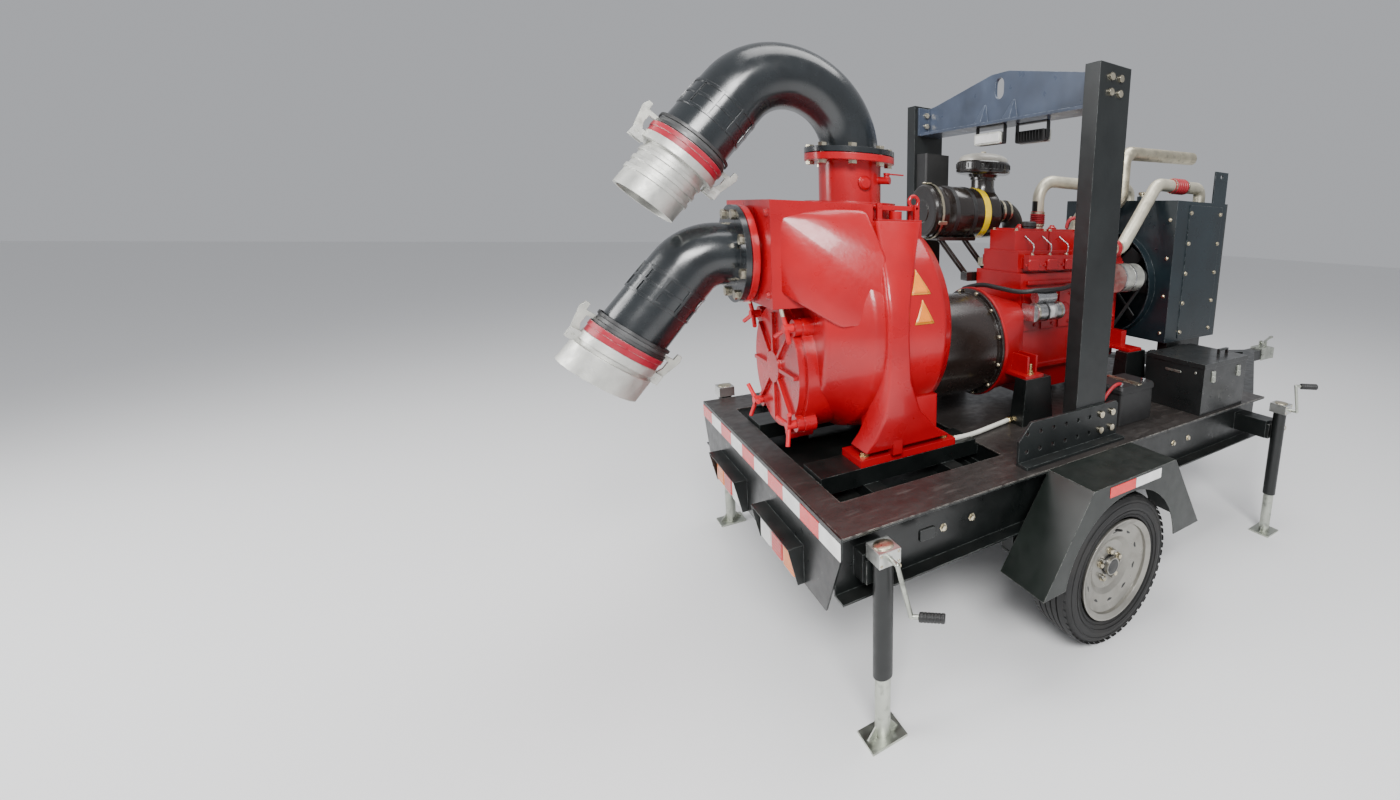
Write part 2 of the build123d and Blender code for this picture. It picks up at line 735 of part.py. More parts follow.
with BuildPart() as cover_plate:
    rod((cover_x, 0, shaft_z), (1, 0, 0), cover_thickness, cover_radius)
    rod((cover_x + cover_thickness, 0, shaft_z), (1, 0, 0), 40, cover_radius - 26)
    rod((cover_x + 12, 0, shaft_z), (1, 0, 0), 60, cover_radius - 44, Mode.SUBTRACT)
    rod((cover_x - 14, 0, shaft_z), (1, 0, 0), 26, 60)
    for turn in range(4):
        with Locations(Location((cover_x - 6, 0, shaft_z), (turn * 45, 0, 0))):
            Box(14, 2 * cover_radius - 40, 14)
    for p in on_circle((cover_x, 0, shaft_z), (1, 0, 0), nut_circle, 4, 45):
        rod(p, (1, 0, 0), cover_thickness, 30)
    for p in on_circle((cover_x - 1, 0, shaft_z), (1, 0, 0), nut_circle, 4, 45):
        rod(p, (1, 0, 0), cover_thickness + 2, 9, Mode.SUBTRACT)
save(cover_plate, "cover_plate")

with BuildPart() as fill_clamp:
    hinge_x = fill_x - clamp_half
    rod((hinge_x, fill_y - 28, clamp_z), (0, 1, 0), 56, 5)
    rod((hinge_x, fill_y - 11, clamp_z), (0, 1, 0), 22, 11)
    block((hinge_x, fill_x + clamp_half + 14), (fill_y - 11, fill_y + 11), (clamp_z - 9, clamp_z + 9))
    eye = (fill_x + clamp_half, fill_y, clamp_z + 26)
    with Locations(Plane(origin=eye, z_dir=(0, 1, 0))):
        Torus(20, 7)
save(fill_clamp, "fill_clamp")

with BuildPart() as valve_lever:
    rod((valve_x, valve_y, valve_top - 16), (0, 0, 1), 19, 5)
    rod((valve_x, valve_y, valve_top + 1), (0, 0, 1), 9, 12)
    block((valve_x, valve_x + 72), (valve_y - 7, valve_y + 7), (valve_top + 4, valve_top + 9))
save(valve_lever, "valve_lever")

# ---------------------------------------------------------------- Hose ends
gasket = 3
elbow_flange = 19
discharge_bend = 240
discharge_rise = 8
discharge_arc = 90 + degrees(hose_slope)
discharge_run = 215
suction_bend = 150
suction_straight = 62
suction_run = 255
down = Vector(-cos(hose_slope), 0, -sin(hose_slope))
upward = Vector(-sin(hose_slope), 0, cos(hose_slope))
bore_radius = pipe_radius - pipe_wall
discharge_end = Vector(
    discharge_x - discharge_bend * (1 + sin(hose_slope)) + discharge_run * down.X,
    0,
    discharge_z + discharge_rise + discharge_bend * cos(hose_slope) + discharge_run * down.Z,
)
suction_end = Vector(
    suction_x - suction_straight - suction_bend * sin(hose_slope) + suction_run * down.X,
    0,
    suction_z - suction_bend * (1 - cos(hose_slope)) + suction_run * down.Z,
)


def elbow(face, out, straight, arc_centre, arc, end, run):
    """A flanged bend: flange with bolt holes, arc and straight run with raised bands."""
    ring(face + out * gasket, out, elbow_flange, flange_radius, bore_radius)
    ring(face + out * gasket, out, straight - gasket, pipe_radius, bore_radius)
    across_arc = Plane(origin=face + out * straight, x_dir=(0, 1, 0), z_dir=out)
    with BuildSketch(across_arc) as section:
        Circle(pipe_radius)
        Circle(bore_radius, mode=Mode.SUBTRACT)
    revolve(section.sketch, axis=Axis(tuple(arc_centre), (0, -1, 0)), revolution_arc=arc)
    ring(end - down * run, down, run, pipe_radius, bore_radius)
    for n in range(3):
        ring(end - down * (run - 40 - 45 * n), down, 10, pipe_radius + 3, bore_radius)
    ring(face, out, gasket - slack, bolt_circle - bolt_radius - 2, bore_radius + 2)
    for p in on_circle(tuple(face), tuple(out), bolt_circle, bolt_count, 22.5):
        rod(p, out, 60, bolt_radius + 1, Mode.SUBTRACT)


with BuildPart() as discharge_elbow:
    top_face = Vector(discharge_x, 0, discharge_z)
    turn = Vector(discharge_x - discharge_bend, 0, discharge_z + discharge_rise)
    elbow(top_face, Vector(0, 0, 1), discharge_rise, turn, discharge_arc, discharge_end, discharge_run)
save(discharge_elbow, "discharge_elbow")

with BuildPart() as suction_elbow:
    rear_face = Vector(suction_x, 0, suction_z)
    turn = Vector(suction_x - suction_straight, 0, suction_z - suction_bend)
    bend = degrees(hose_slope)
    elbow(rear_face, Vector(-1, 0, 0), suction_straight, turn, bend, suction_end, suction_run)
save(suction_elbow, "suction_elbow")

collar_length = 42
hose_start = 62
coupling_radius = 124
flange_length = 26
pin_radius = 5
pin_along = 88
pin_across = 138
lever_half = 8


def hose_coupling(name, origin, cup):
    """A lever-lock hose coupling: collar, seal ring and hose end, with two lever hooks."""

    def at(across_hose, along, sideways=0.0):
        """A point measured across, along and to the side of the hose."""
        return origin + upward * across_hose + down * along + Vector(0, sideways, 0)

    with BuildPart() as body:
        ring(at(0, 0), down, collar_length, pipe_radius + 8, bore_radius)
        ring(at(0, 26), down, collar_length - 26, coupling_radius, bore_radius)
        seal = hose_start - collar_length - 2 * slack
        ring(at(0, collar_length + slack), down, seal, coupling_radius - 3, bore_radius)
        inner = bore_radius if cup else bore_radius - 10
        ring(at(0, hose_start), down, flange_length, coupling_radius, inner)
        if cup:
            ring(at(0, 85), down, 24, coupling_radius - 8, bore_radius)
            ring(at(0, 102), down, 75, coupling_radius + 7, coupling_radius - 6)
            ring(at(0, 102), down, 7, coupling_radius + 7, bore_radius)
        else:
            ring(at(0, 85), down, 165, bore_radius, bore_radius - 10)
            for n in range(3):
                ring(at(0, 110 + 34 * n), down, 14, bore_radius + 5, bore_radius - 10)
        for turn in (-1, 1):
            for y in (-15, 15):
                ear = Plane(origin=at(turn * 131, pin_along, y), x_dir=upward, z_dir=down)
                with Locations(ear):
                    Box(44, 10, 34)
            pin = at(turn * pin_across, pin_along, -30)
            rod(pin, (0, 1, 0), 60, pin_radius + running_gap, Mode.SUBTRACT)
    save(body, f"{name}_coupling")
    for turn, place in ((1, "upper"), (-1, "lower")):
        hook = Plane(origin=at(0, 0, lever_half), x_dir=upward, z_dir=(0, 1, 0))
        with BuildPart() as lever:
            with BuildSketch(hook):
                Polygon(
                    (turn * 133, -97),
                    (turn * 147, -99),
                    (turn * 160, -55),
                    (turn * 172, -5),
                    (turn * 166, 14),
                    (turn * 152, 14),
                    (turn * 150, -8),
                    (turn * 118.5, -8),
                    (turn * 118.5, -22),
                    (turn * 140, -22),
                    (turn * 140, -50),
                    (turn * 131, -68),
                    align=None,
                )
            extrude(amount=-2 * lever_half)
            rod(at(turn * pin_across, pin_along, -20), (0, 1, 0), 40, pin_radius)
        save(lever, f"{name}_lever_{place}")


hose_coupling("discharge", discharge_end, cup=False)
hose_coupling("suction", suction_end, cup=True)

# ---------------------------------------------------------------- Shaft line
bearing_outer = 62
bearing_width = 26
tube_length = 170
housing_face = barrel_front + 16
nose_radius = 24
with BuildPart() as bearing_housing:
    rod((barrel_front, 0, shaft_z), (1, 0, 0), 16, seal_bore + 35)
    rod((barrel_front - 16, 0, shaft_z), (1, 0, 0), 16, seal_bore - slack)
    ring((housing_face, 0, shaft_z), (1, 0, 0), tube_length, bearing_outer + 14, bearing_outer)
    rod((barrel_front - 20, 0, shaft_z), (1, 0, 0), 60, shaft_radius + 1, Mode.SUBTRACT)
    for x in (housing_face + 2, housing_face + tube_length - bearing_width - 2):
        outer = bearing_outer - slack
        ring((x, 0, shaft_z), (1, 0, 0), bearing_width, outer, shaft_radius + running_gap)
save(bearing_housing, "bearing_housing")

impeller_width = 70
back_plate = 12
vane = 6
with BuildPart() as impeller:
    rod((impeller_rear + impeller_width, 0, shaft_z), (1, 0, 0), back_plate, impeller_radius)
    rod((impeller_rear, 0, shaft_z), (1, 0, 0), impeller_width, 42)
    for turn in range(3):
        start = radians(120 * turn)
        middle = start + radians(30)
        tip = start + radians(75)
        reach = impeller_radius - vane - 2
        with BuildSketch(Plane.YZ.offset(impeller_rear + 6)):
            with BuildLine():
                ThreePointArc(
                    (38 * cos(start), shaft_z + 38 * sin(start)),
                    (92 * cos(middle), shaft_z + 92 * sin(middle)),
                    (reach * cos(tip), shaft_z + reach * sin(tip)),
                )
                offset(amount=vane)
            make_face()
        extrude(amount=impeller_width)
    bore = nose_radius + running_gap
    rod((impeller_rear - 1, 0, shaft_z), (1, 0, 0), impeller_width + 20, bore, Mode.SUBTRACT)
save(impeller, "impeller")

flywheel_x = bell_x + 40
flywheel_radius = 195
flywheel_width = 42
coupling_rubber = 20
with BuildPart() as pump_shaft:
    nose_end = impeller_rear + impeller_width + back_plate
    rod((impeller_rear - 8, 0, shaft_z), (1, 0, 0), nose_end - impeller_rear + 8, nose_radius)
    rod((impeller_rear - 22, 0, shaft_z), (1, 0, 0), 22 - slack, 36)
    hub_end = flywheel_x - coupling_rubber
    rod((nose_end + slack, 0, shaft_z), (1, 0, 0), hub_end - nose_end - slack, shaft_radius)
    rod((nose_end - 1, 0, shaft_z), (1, 0, 0), 2, nose_radius)
    rod((hub_end - 55, 0, shaft_z), (1, 0, 0), 55, 70)
    rod((hub_end - 14, 0, shaft_z), (1, 0, 0), 14, 150)
    rubber = coupling_rubber - 2 * slack
    ring((hub_end + slack, 0, shaft_z), (1, 0, 0), rubber, 140, 60)
save(pump_shaft, "pump_shaft")

with BuildPart() as coupling_drum:
    length = bell_x - barrel_front
    rod((barrel_front, 0, shaft_z), (1, 0, 0), length, drum_radius)
    rod((barrel_front, 0, shaft_z), (1, 0, 0), 12, bell_radius - 2)
    rod((bell_x - 12, 0, shaft_z), (1, 0, 0), 12, bell_radius)
    rod((barrel_front - 1, 0, shaft_z), (1, 0, 0), length + 2, drum_radius - 7, Mode.SUBTRACT)
    for p in on_circle((bell_x - 22, 0, shaft_z), (1, 0, 0), bell_radius - 9, 12, 15):
        rod(p, (1, 0, 0), 12, 7)
save(coupling_drum, "coupling_drum")

# ---------------------------------------------------------------- Engine
journal = 34
pulley_x = engine_front + 40
cylinder_count = 6
cylinder_step = 117
cylinders = [engine_rear + 62 + n * cylinder_step for n in range(cylinder_count)]
mount_pad = 15
with BuildPart() as flywheel_housing:
    with BuildSketch(Plane.YZ.offset(bell_x)):
        with Locations((0, shaft_z)):
            Circle(bell_radius)
    with BuildSketch(Plane.YZ.offset(engine_rear)):
        with Locations((0, shaft_z)):
            RectangleRounded(2 * block_half + 60, 400, 80)
    loft()
    rod((bell_x, 0, shaft_z), (1, 0, 0), 16, bell_radius + 6)
    for side in (-1, 1):
        pad = (rear_mount_z, rear_mount_z + mount_pad)
        block((rear_mount_x - 75, rear_mount_x + 35), across(side, 180, mount_y + 30), pad)
        block((rear_mount_x - 40, rear_mount_x - 28), across(side, 180, mount_y), (pad[1], 980))
        block((rear_mount_x + 10, rear_mount_x + 22), across(side, 180, mount_y), (pad[1], 980))
    rod((bell_x - 1, 0, shaft_z), (1, 0, 0), 89, flywheel_radius + 6, Mode.SUBTRACT)
    rod((bell_x, 0, shaft_z), (1, 0, 0), 200, journal + 2, Mode.SUBTRACT)
save(flywheel_housing, "flywheel_housing")

block_bottom = 870
with BuildPart() as engine_block:
    block((engine_rear, engine_front), (-block_half, block_half), (block_bottom, head_bottom))
    for x in cylinders:
        block((x - 42, x + 42), (-block_half - 10, block_half + 10), (1060, 1250))
    rail_x = (engine_rear + 30, engine_front - 60)
    block(rail_x, (-block_half - 18, block_half + 18), (1278, 1296))
    skirt = (engine_rear + 20, engine_front - 20)
    block(skirt, (-block_half - 12, block_half + 12), (block_bottom, block_bottom + 20))
    gear_case = (20 - block_half, block_half - 20)
    block((engine_front, engine_front + 26), gear_case, (block_bottom + 10, 1290))
    for side in (-1, 1):
        pad = (front_mount_z, front_mount_z + mount_pad)
        arm = across(side, block_half - 1, mount_y + 30)
        block((front_mount_x - 50, front_mount_x + 50), arm, pad)
        web = across(side, block_half - 1, mount_y - 50)
        block((front_mount_x - 20, front_mount_x + 20), web, (pad[1], 1020))
    crankcase = (engine_rear + 20, engine_front - 20)
    block(crankcase, (-130, 130), (block_bottom - 1, 1290), Mode.SUBTRACT)
    bore_length = engine_front - engine_rear + 40
    rod((engine_rear - 1, 0, crank_z), (1, 0, 0), bore_length, journal + running_gap, Mode.SUBTRACT)
    rod((engine_front + 26, 0, fan_z), (1, 0, 0), 42, 16)
    pan_x = (engine_rear + engine_front) / 2
    seam = block_bottom - slack
    pan_flange = (engine_rear + 12, engine_front - 12)
    block(pan_flange, (6 - block_half, block_half - 6), (seam - 14, seam))
    with BuildSketch(Plane.XY.offset(seam - 14)):
        with Locations((pan_x, 0)):
            Rectangle(640, 280)
    with BuildSketch(Plane.XY.offset(sump_bottom)):
        with Locations((pan_x - 40, 0)):
            Rectangle(520, 230)
    loft()
    block((pan_x - 240, pan_x + 180), (-100, 100), (sump_bottom + 12, seam + 1), Mode.SUBTRACT)
save(engine_block, "engine_block")

head_deck = 1432
with BuildPart() as cylinder_head:
    block((engine_rear + 10, engine_front - 10), (-125, 125), (head_bottom, head_deck))
    for x in cylinders:
        block((x - 30, x + 30), (-160, 160), (head_bottom + 20, head_deck - 32))
    manifold = (engine_rear + 20, engine_front - 20)
    block(manifold, (-190, -155), (head_bottom + 15, head_bottom + 85))
    outlet_y = (charge_y - charge_radius, -190)
    block((engine_front - 210, engine_front - 190), outlet_y, (head_deck - 30, head_deck + 58))
    block((engine_front - 210, engine_front - 190), (-190, -156), (head_deck - 30, head_deck - 17))
    for n in range(3):
        x = engine_rear + 18 + n * 226
        block((x, x + 220), (-92, 92), (head_deck, head_top - 10))
        block((x + 20, x + 200), (-70, 70), (head_top - 10, head_top))
    cavity = (engine_rear + 60, engine_front - 60)
    block(cavity, (-95, 95), (head_bottom + 12, head_deck - 15), Mode.SUBTRACT)
save(cylinder_head, "cylinder_head")

with BuildPart() as starter:
    block((engine_rear, engine_rear + 14), (-262, -block_half - 12), (1120, 1195))
    rod((engine_rear + 13, -240, 1160), (1, 0, 0), 168, 43)
    rod((engine_rear + 20, -240, 1228), (1, 0, 0), 120, 27)
    block((engine_rear + 30, engine_rear + 120), (-246, -234), (1190, 1215))
save(starter, "starter")

alternator_y = -262
alternator_z = 1300
rotor_radius = 9
alternator_pulley = 34
with BuildPart() as alternator:
    centre = (pulley_x - 190, alternator_y, alternator_z)
    rod(centre, (1, 0, 0), 150, 72)
    block((pulley_x - 150, pulley_x - 80), (alternator_y + 20, -block_half), (1255, 1275))
    mouth = (pulley_x - 100, alternator_y, alternator_z)
    rod(mouth, (1, 0, 0), 80, rotor_radius + running_gap, Mode.SUBTRACT)
save(alternator, "alternator")

with BuildPart() as alternator_rotor:
    rod((pulley_x - 95, alternator_y, alternator_z), (1, 0, 0), 100, rotor_radius)
    rod((pulley_x - 32, alternator_y, alternator_z), (1, 0, 0), 8, 62)
    rod((pulley_x - 4, alternator_y, alternator_z), (1, 0, 0), 32, alternator_pulley)
save(alternator_rotor, "alternator_rotor")

crank_pulley = 88
with BuildPart() as crankshaft:
    rod((flywheel_x, 0, crank_z), (1, 0, 0), flywheel_width, flywheel_radius)
    shaft_end = pulley_x + 30
    rod((flywheel_x + 20, 0, crank_z), (1, 0, 0), shaft_end - flywheel_x - 20, journal)
    rod((pulley_x - 4, 0, crank_z), (1, 0, 0), 32, crank_pulley)
    rod((pulley_x + 28, 0, crank_z), (1, 0, 0), 18, 26)
save(crankshaft, "crankshaft")

fan_pulley = 68
blade_count = 8
blade_pitch = 32
with BuildPart() as cooling_fan:
    rod((pulley_x - 4, 0, fan_z), (1, 0, 0), 62, fan_pulley)
    rod((pulley_x + 58, 0, fan_z), (1, 0, 0), 45, 60)
    for n in range(blade_count):
        with Locations(Location((fan_x + 36, 0, fan_z), (360 / blade_count * n, 0, 0))):
            with Locations(Location((0, 0, fan_radius / 2 + 15), (0, 0, blade_pitch))):
                Box(6, 84, fan_radius - 50)
    rod((pulley_x - 10, 0, fan_z), (1, 0, 0), 44, 16 + running_gap, Mode.SUBTRACT)
save(cooling_fan, "cooling_fan")

belt_width = 22
belt_thickness = 8
wraps = (
    (0, crank_z, crank_pulley),
    (0, fan_z, fan_pulley),
    (alternator_y, alternator_z, alternator_pulley),
)
with BuildPart() as fan_belt:
    for extra, how in ((slack + belt_thickness, Mode.ADD), (slack, Mode.SUBTRACT)):
        with BuildSketch(Plane.YZ.offset(pulley_x)):
            for y, z, radius in wraps:
                with Locations((y, z)):
                    Circle(radius + extra)
            make_hull()
        extrude(amount=belt_width, mode=how)
save(fan_belt, "fan_belt")

shroud_radius = fan_radius + 14
core = 35
skin = 4
with BuildPart() as radiator:
    span_y = (-radiator_half, radiator_half)
    span_z = (radiator_bottom, radiator_top)
    block((radiator_rear - 24, radiator_front), span_y, span_z)
    plenum = (radiator_rear - 18, radiator_front - core)
    plenum_z = (radiator_bottom + skin, radiator_top - skin)
    block(plenum, (skin - radiator_half, radiator_half - skin), plenum_z, Mode.SUBTRACT)
    ring_length = radiator_rear - 18 - fan_x - 12
    rod((fan_x + 12, 0, fan_z), (1, 0, 0), ring_length, shroud_radius + 6)
    rod((fan_x, 0, fan_z), (1, 0, 0), ring_length + 20, shroud_radius, Mode.SUBTRACT)
    side_x = (radiator_rear + 90, radiator_front - 60)
    side_z = (radiator_bottom + 15, radiator_top - 20)
    for side in (-1, 1):
        block(side_x, across(side, radiator_half, radiator_half + 4), side_z)
    with BuildSketch(Plane.XZ.offset(radiator_half - 8)):
        with Locations((radiator_front - 95, radiator_top + 80)):
            Rectangle(130, 175)
            with Locations((0, 62)):
                Circle(12, mode=Mode.SUBTRACT)
    extrude(amount=8)
    rod((radiator_rear + 220, 0, radiator_top), (0, 0, 1), 34, 42)
save(radiator, "radiator")

# ---------------------------------------------------------------- Pipes
charge_wall = 4
charge_z = 1782
charge_drop = radiator_rear + 385
turbo_x = engine_front - 170
turbo_y = 232
turbo_z = 1440
exhaust_y = -85
exhaust_top = 1945


def tube_along(points, bends, radius, bore):
    """A bent tube along straight runs joined by arcs."""
    with BuildLine() as path:
        FilletPolyline(*points, radius=bends)
    with BuildSketch(Plane(origin=path.line @ 0, z_dir=path.line % 0)) as section:
        Circle(radius)
        Circle(bore, mode=Mode.SUBTRACT)
    sweep(section.sketch, path=path.line)


with BuildPart() as charge_pipe_right:
    outlet = (engine_front - 190 + slack, charge_y, head_deck + 18)
    route = (
        outlet,
        (engine_front - 105, charge_y, head_deck + 18),
        (engine_front + 155, charge_y, charge_z),
        (charge_drop, charge_y, charge_z),
        (charge_drop, charge_y, radiator_top),
    )
    tube_along(route, [60, 80, 45], charge_radius, charge_radius - charge_wall)

with BuildPart() as charge_pipe_left:
    route = (
        (turbo_x - 65, turbo_y, turbo_z + 80),
        (turbo_x - 65, turbo_y, charge_z + 10),
        (charge_drop, turbo_y, charge_z + 10),
        (charge_drop, turbo_y, radiator_top),
    )
    tube_along(route, [110, 50], charge_radius, charge_radius - charge_wall)

with BuildPart() as intake_pipe:
    outlet_z = cleaner_z + 14
    drop_x = turbo_x - 250
    route = (
        (cleaner_x + cleaner_length, turbo_y, outlet_z),
        (drop_x, turbo_y, outlet_z),
        (drop_x, turbo_y, turbo_z),
        (turbo_x - 130, turbo_y, turbo_z),
    )
    tube_along(route, [80, 80], intake_radius, intake_radius - charge_wall)

with BuildPart() as air_pipes:
    add(charge_pipe_right.part)
    add(charge_pipe_left.part)
    add(intake_pipe.part)
save(air_pipes, "air_pipes")

with BuildPart() as exhaust_pipe:
    route = (
        (turbo_x + 78, turbo_y, turbo_z),
        (turbo_x + 200, turbo_y, turbo_z),
        (turbo_x + 245, turbo_y - 40, turbo_z + 180),
        (turbo_x + 250, exhaust_y, turbo_z + 250),
        (turbo_x + 250, exhaust_y, exhaust_top),
        (turbo_x + 890, exhaust_y, exhaust_top + 25),
    )
    tube_along(route, [60, 60, 60, 60], exhaust_radius, exhaust_radius - 3)

with BuildPart() as exhaust_system:
    rod((turbo_x - 95, turbo_y, turbo_z), (1, 0, 0), 60, 68)
    rod((turbo_x - 130, turbo_y, turbo_z), (1, 0, 0), 40, 50)
    rod((turbo_x - 40, turbo_y, turbo_z), (1, 0, 0), 60, 34)
    rod((turbo_x + 18, turbo_y, turbo_z), (1, 0, 0), 60 - slack, 60)
    block((turbo_x - 100, turbo_x - 30), (turbo_y - 36, turbo_y + 36), (turbo_z + 45, turbo_z + 80 - slack))
    block((turbo_x - 10, turbo_x + 60), (190, turbo_y), (head_bottom + 40, turbo_z))
    block((engine_rear + 40, engine_front - 40), (160, 208), (head_bottom + 10, head_bottom + 50))
    add(exhaust_pipe.part)
save(exhaust_system, "exhaust_system")

bowl_x = rear_x + 1318
saddle_x = (cleaner_x + 60, cleaner_x + 300)
with BuildPart() as air_cleaner:
    body = (cleaner_x, cleaner_y, cleaner_z)
    rod(body, (1, 0, 0), cleaner_length - slack, cleaner_radius)
    fillet(air_cleaner.edges().filter_by(GeomType.CIRCLE).group_by(Axis.X)[-1], 12)
    fillet(air_cleaner.edges().filter_by(GeomType.CIRCLE).group_by(Axis.X)[0], 14)
    rod((cleaner_x + 34, cleaner_y, cleaner_z), (1, 0, 0), 10, cleaner_radius + 5)
    rod((bowl_x, cleaner_y, cleaner_z + 100), (0, 0, 1), 78, 62)
    rod((bowl_x, cleaner_y, cleaner_z + 178), (0, 0, 1), 30, 80)
    rod((bowl_x, cleaner_y, cleaner_z + 206), (0, 0, 1), 55, 165)
    rod((bowl_x, cleaner_y, cleaner_z + 261), (0, 0, 1), 28, 140)
    saddle_z = cleaner_z - cleaner_radius
    block(saddle_x, (cleaner_y - 60, cleaner_y + 60), (saddle_z - 12, saddle_z + 10))
    for x in (cleaner_x + 100, cleaner_x + 250):
        bar_between((x, cleaner_y - 20, saddle_z - 6), (x + 130, 225, 1290), 15)
    block((cleaner_x + 200, cleaner_x + 420), (block_half + 18, 240), (1262, 1310))
save(air_cleaner, "air_cleaner")

# ---------------------------------------------------------------- Toolbox
lid_drop = 22
hinge_z = toolbox_top - 8
hinge_y = 10 - toolbox_inner
hinge_pin = 4
knuckles = (toolbox_x + 60, toolbox_x + toolbox_length - 60)
with BuildPart() as toolbox:
    ends = (toolbox_x, toolbox_x + toolbox_length)
    box_top = toolbox_top - sheet - joint_gap
    block(ends, (-toolbox_outer, -toolbox_inner), (deck_top, box_top))
    hollow = (toolbox_x + sheet, ends[1] - sheet)
    hollow_y = (sheet - toolbox_outer, -toolbox_inner - sheet)
    block(hollow, hollow_y, (deck_top + sheet, toolbox_top), Mode.SUBTRACT)
    for x in knuckles:
        for near in (-25, 13):
            knuckle = (x + near, x + near + 12)
            block(knuckle, (-toolbox_inner, hinge_y), (hinge_z - 30, hinge_z))
            rod((knuckle[0], hinge_y, hinge_z), (1, 0, 0), 12, 8)
        bore = hinge_pin + running_gap
        rod((x - 30, hinge_y, hinge_z), (1, 0, 0), 60, bore, Mode.SUBTRACT)
save(toolbox, "toolbox")

with BuildPart() as toolbox_lid:
    wide = (toolbox_x - 4, toolbox_x + toolbox_length + 4)
    lid_y = (-toolbox_outer - 4, -toolbox_inner - 2)
    lid_z = (toolbox_top - sheet, toolbox_top)
    skirt = (toolbox_top - lid_drop, toolbox_top)
    block(wide, lid_y, lid_z)
    block(wide, (lid_y[0], lid_y[0] + sheet), skirt)
    block((wide[0], wide[0] + sheet), lid_y, skirt)
    block((wide[1] - sheet, wide[1]), lid_y, skirt)
    for x in knuckles:
        strap = (x - 12, x + 12)
        block(strap, (lid_y[1] - 2, hinge_y), lid_z)
        block(strap, (hinge_y - 6, hinge_y + 6), (hinge_z, toolbox_top))
        rod((x - 12, hinge_y, hinge_z), (1, 0, 0), 24, 8)
        rod((x - 26, hinge_y, hinge_z), (1, 0, 0), 52, hinge_pin)
    grip = (toolbox_x + 266, toolbox_x + 354)
    grip_y = (78 - toolbox_outer, 92 - toolbox_outer)
    block(grip, grip_y, (toolbox_top + 22, toolbox_top + 30))
    for x in (grip[0], grip[1] - 8):
        block((x, x + 8), grip_y, (toolbox_top, toolbox_top + 22))
save(toolbox_lid, "toolbox_lid")

# ---------------------------------------------------------------- Fasteners
with BuildPart() as fasteners:
    for side in (-1, 1):
        for dx in (-26, 26):
            for z in (post_top - 45, post_top - 98):
                rod((post_x + dx, side * post_outer, z), (0, side, 0), bolt_head, 13)
                rod((post_x + dx, side * (post_inner - 12), z), (0, -side, 0), 13, 13)
        for dx in (175, 245):
            for z in (deck_top + 50, deck_top + 118):
                face = side * (post_outer + slack + bracket_thickness)
                centre = (bracket_start + bracket_length / 2 + dx, face, z)
                rod(centre, (0, side, 0), bolt_head, 14)
    flanges = (((discharge_x, 0, discharge_z), (0, 0, 1)), ((suction_x, 0, suction_z), (-1, 0, 0)))
    for centre, out in flanges:
        along = Vector(*out)
        for p in on_circle(centre, out, bolt_circle, bolt_count, 22.5):
            head = p + along * (gasket + elbow_flange)
            rod(p - along * flange_thickness, out, flange_thickness + gasket + elbow_flange, bolt_radius)
            with BuildSketch(Plane(origin=head, z_dir=out)):
                RegularPolygon(17, 6)
            extrude(amount=13)
    under = (discharge_x, 0, discharge_z - flange_thickness)
    for p in on_circle(under, (0, 0, -1), bolt_circle, bolt_count, 22.5):
        with BuildSketch(Plane(origin=p, z_dir=(0, 0, -1))):
            RegularPolygon(17, 6)
        extrude(amount=13)
    for turn, p in enumerate(on_circle((cover_x, 0, shaft_z), (1, 0, 0), nut_circle, 4, 45)):
        rod(p, (-1, 0, 0), 34, 16)
        rod(p, (1, 0, 0), cover_thickness, 8)
        hub = p - Vector(22, 0, 0)
        for wing in on_circle(tuple(hub), (1, 0, 0), 74, 3, 40 * turn):
            bar_between(tuple(hub), tuple(wing - Vector(16, 0, 0)), 8)
save(fasteners, "fasteners")
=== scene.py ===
"""The looks of the engine-driven trash pump trailer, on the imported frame. Metres, +X towards
the tow coupling, +Z up. Places are measured from the deck's rear edge with at(s, y, z)."""

import json
from math import cos, pi, radians, sin

import bmesh
import bpy
from mathutils import Matrix, Vector


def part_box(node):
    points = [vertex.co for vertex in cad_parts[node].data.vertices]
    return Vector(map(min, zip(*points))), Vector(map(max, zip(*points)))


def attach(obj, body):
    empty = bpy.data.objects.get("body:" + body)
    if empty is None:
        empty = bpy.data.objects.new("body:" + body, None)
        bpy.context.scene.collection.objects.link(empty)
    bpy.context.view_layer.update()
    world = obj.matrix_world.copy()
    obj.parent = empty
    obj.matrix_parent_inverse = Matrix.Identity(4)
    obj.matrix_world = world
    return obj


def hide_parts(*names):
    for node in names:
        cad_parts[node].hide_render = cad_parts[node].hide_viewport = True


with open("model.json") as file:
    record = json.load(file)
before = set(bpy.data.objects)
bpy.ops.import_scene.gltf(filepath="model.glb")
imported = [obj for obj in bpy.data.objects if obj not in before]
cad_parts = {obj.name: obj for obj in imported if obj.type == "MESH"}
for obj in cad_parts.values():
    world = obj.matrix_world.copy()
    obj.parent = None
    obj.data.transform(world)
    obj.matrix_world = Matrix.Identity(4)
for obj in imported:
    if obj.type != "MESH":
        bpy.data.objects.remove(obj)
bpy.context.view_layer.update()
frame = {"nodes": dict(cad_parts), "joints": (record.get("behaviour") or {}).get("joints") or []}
nodes = frame["nodes"]

PANEL = 0.006
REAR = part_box("deck_plate")[0].x - PANEL
HALF_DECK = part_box("deck_plate")[1].y
SHAFT_Z = 1.0
X, Y, Z = Vector((1, 0, 0)), Vector((0, 1, 0)), Vector((0, 0, 1))


def at(s, y, z):
    """A point s metres ahead of the deck's rear edge."""
    return Vector((REAR + s, y, z))


# ---------------------------------------------------------------- Materials
PUMP_RED = (0.40, 0.0003, 0.006)
DARK = (0.0045, 0.0058, 0.0055)


class Look:
    """One finish: colour, roughness and metalness."""

    def __init__(self, colour, rough, metal=0.0):
        self.colour = (*colour, 1.0)
        self.rough = rough
        self.metal = metal


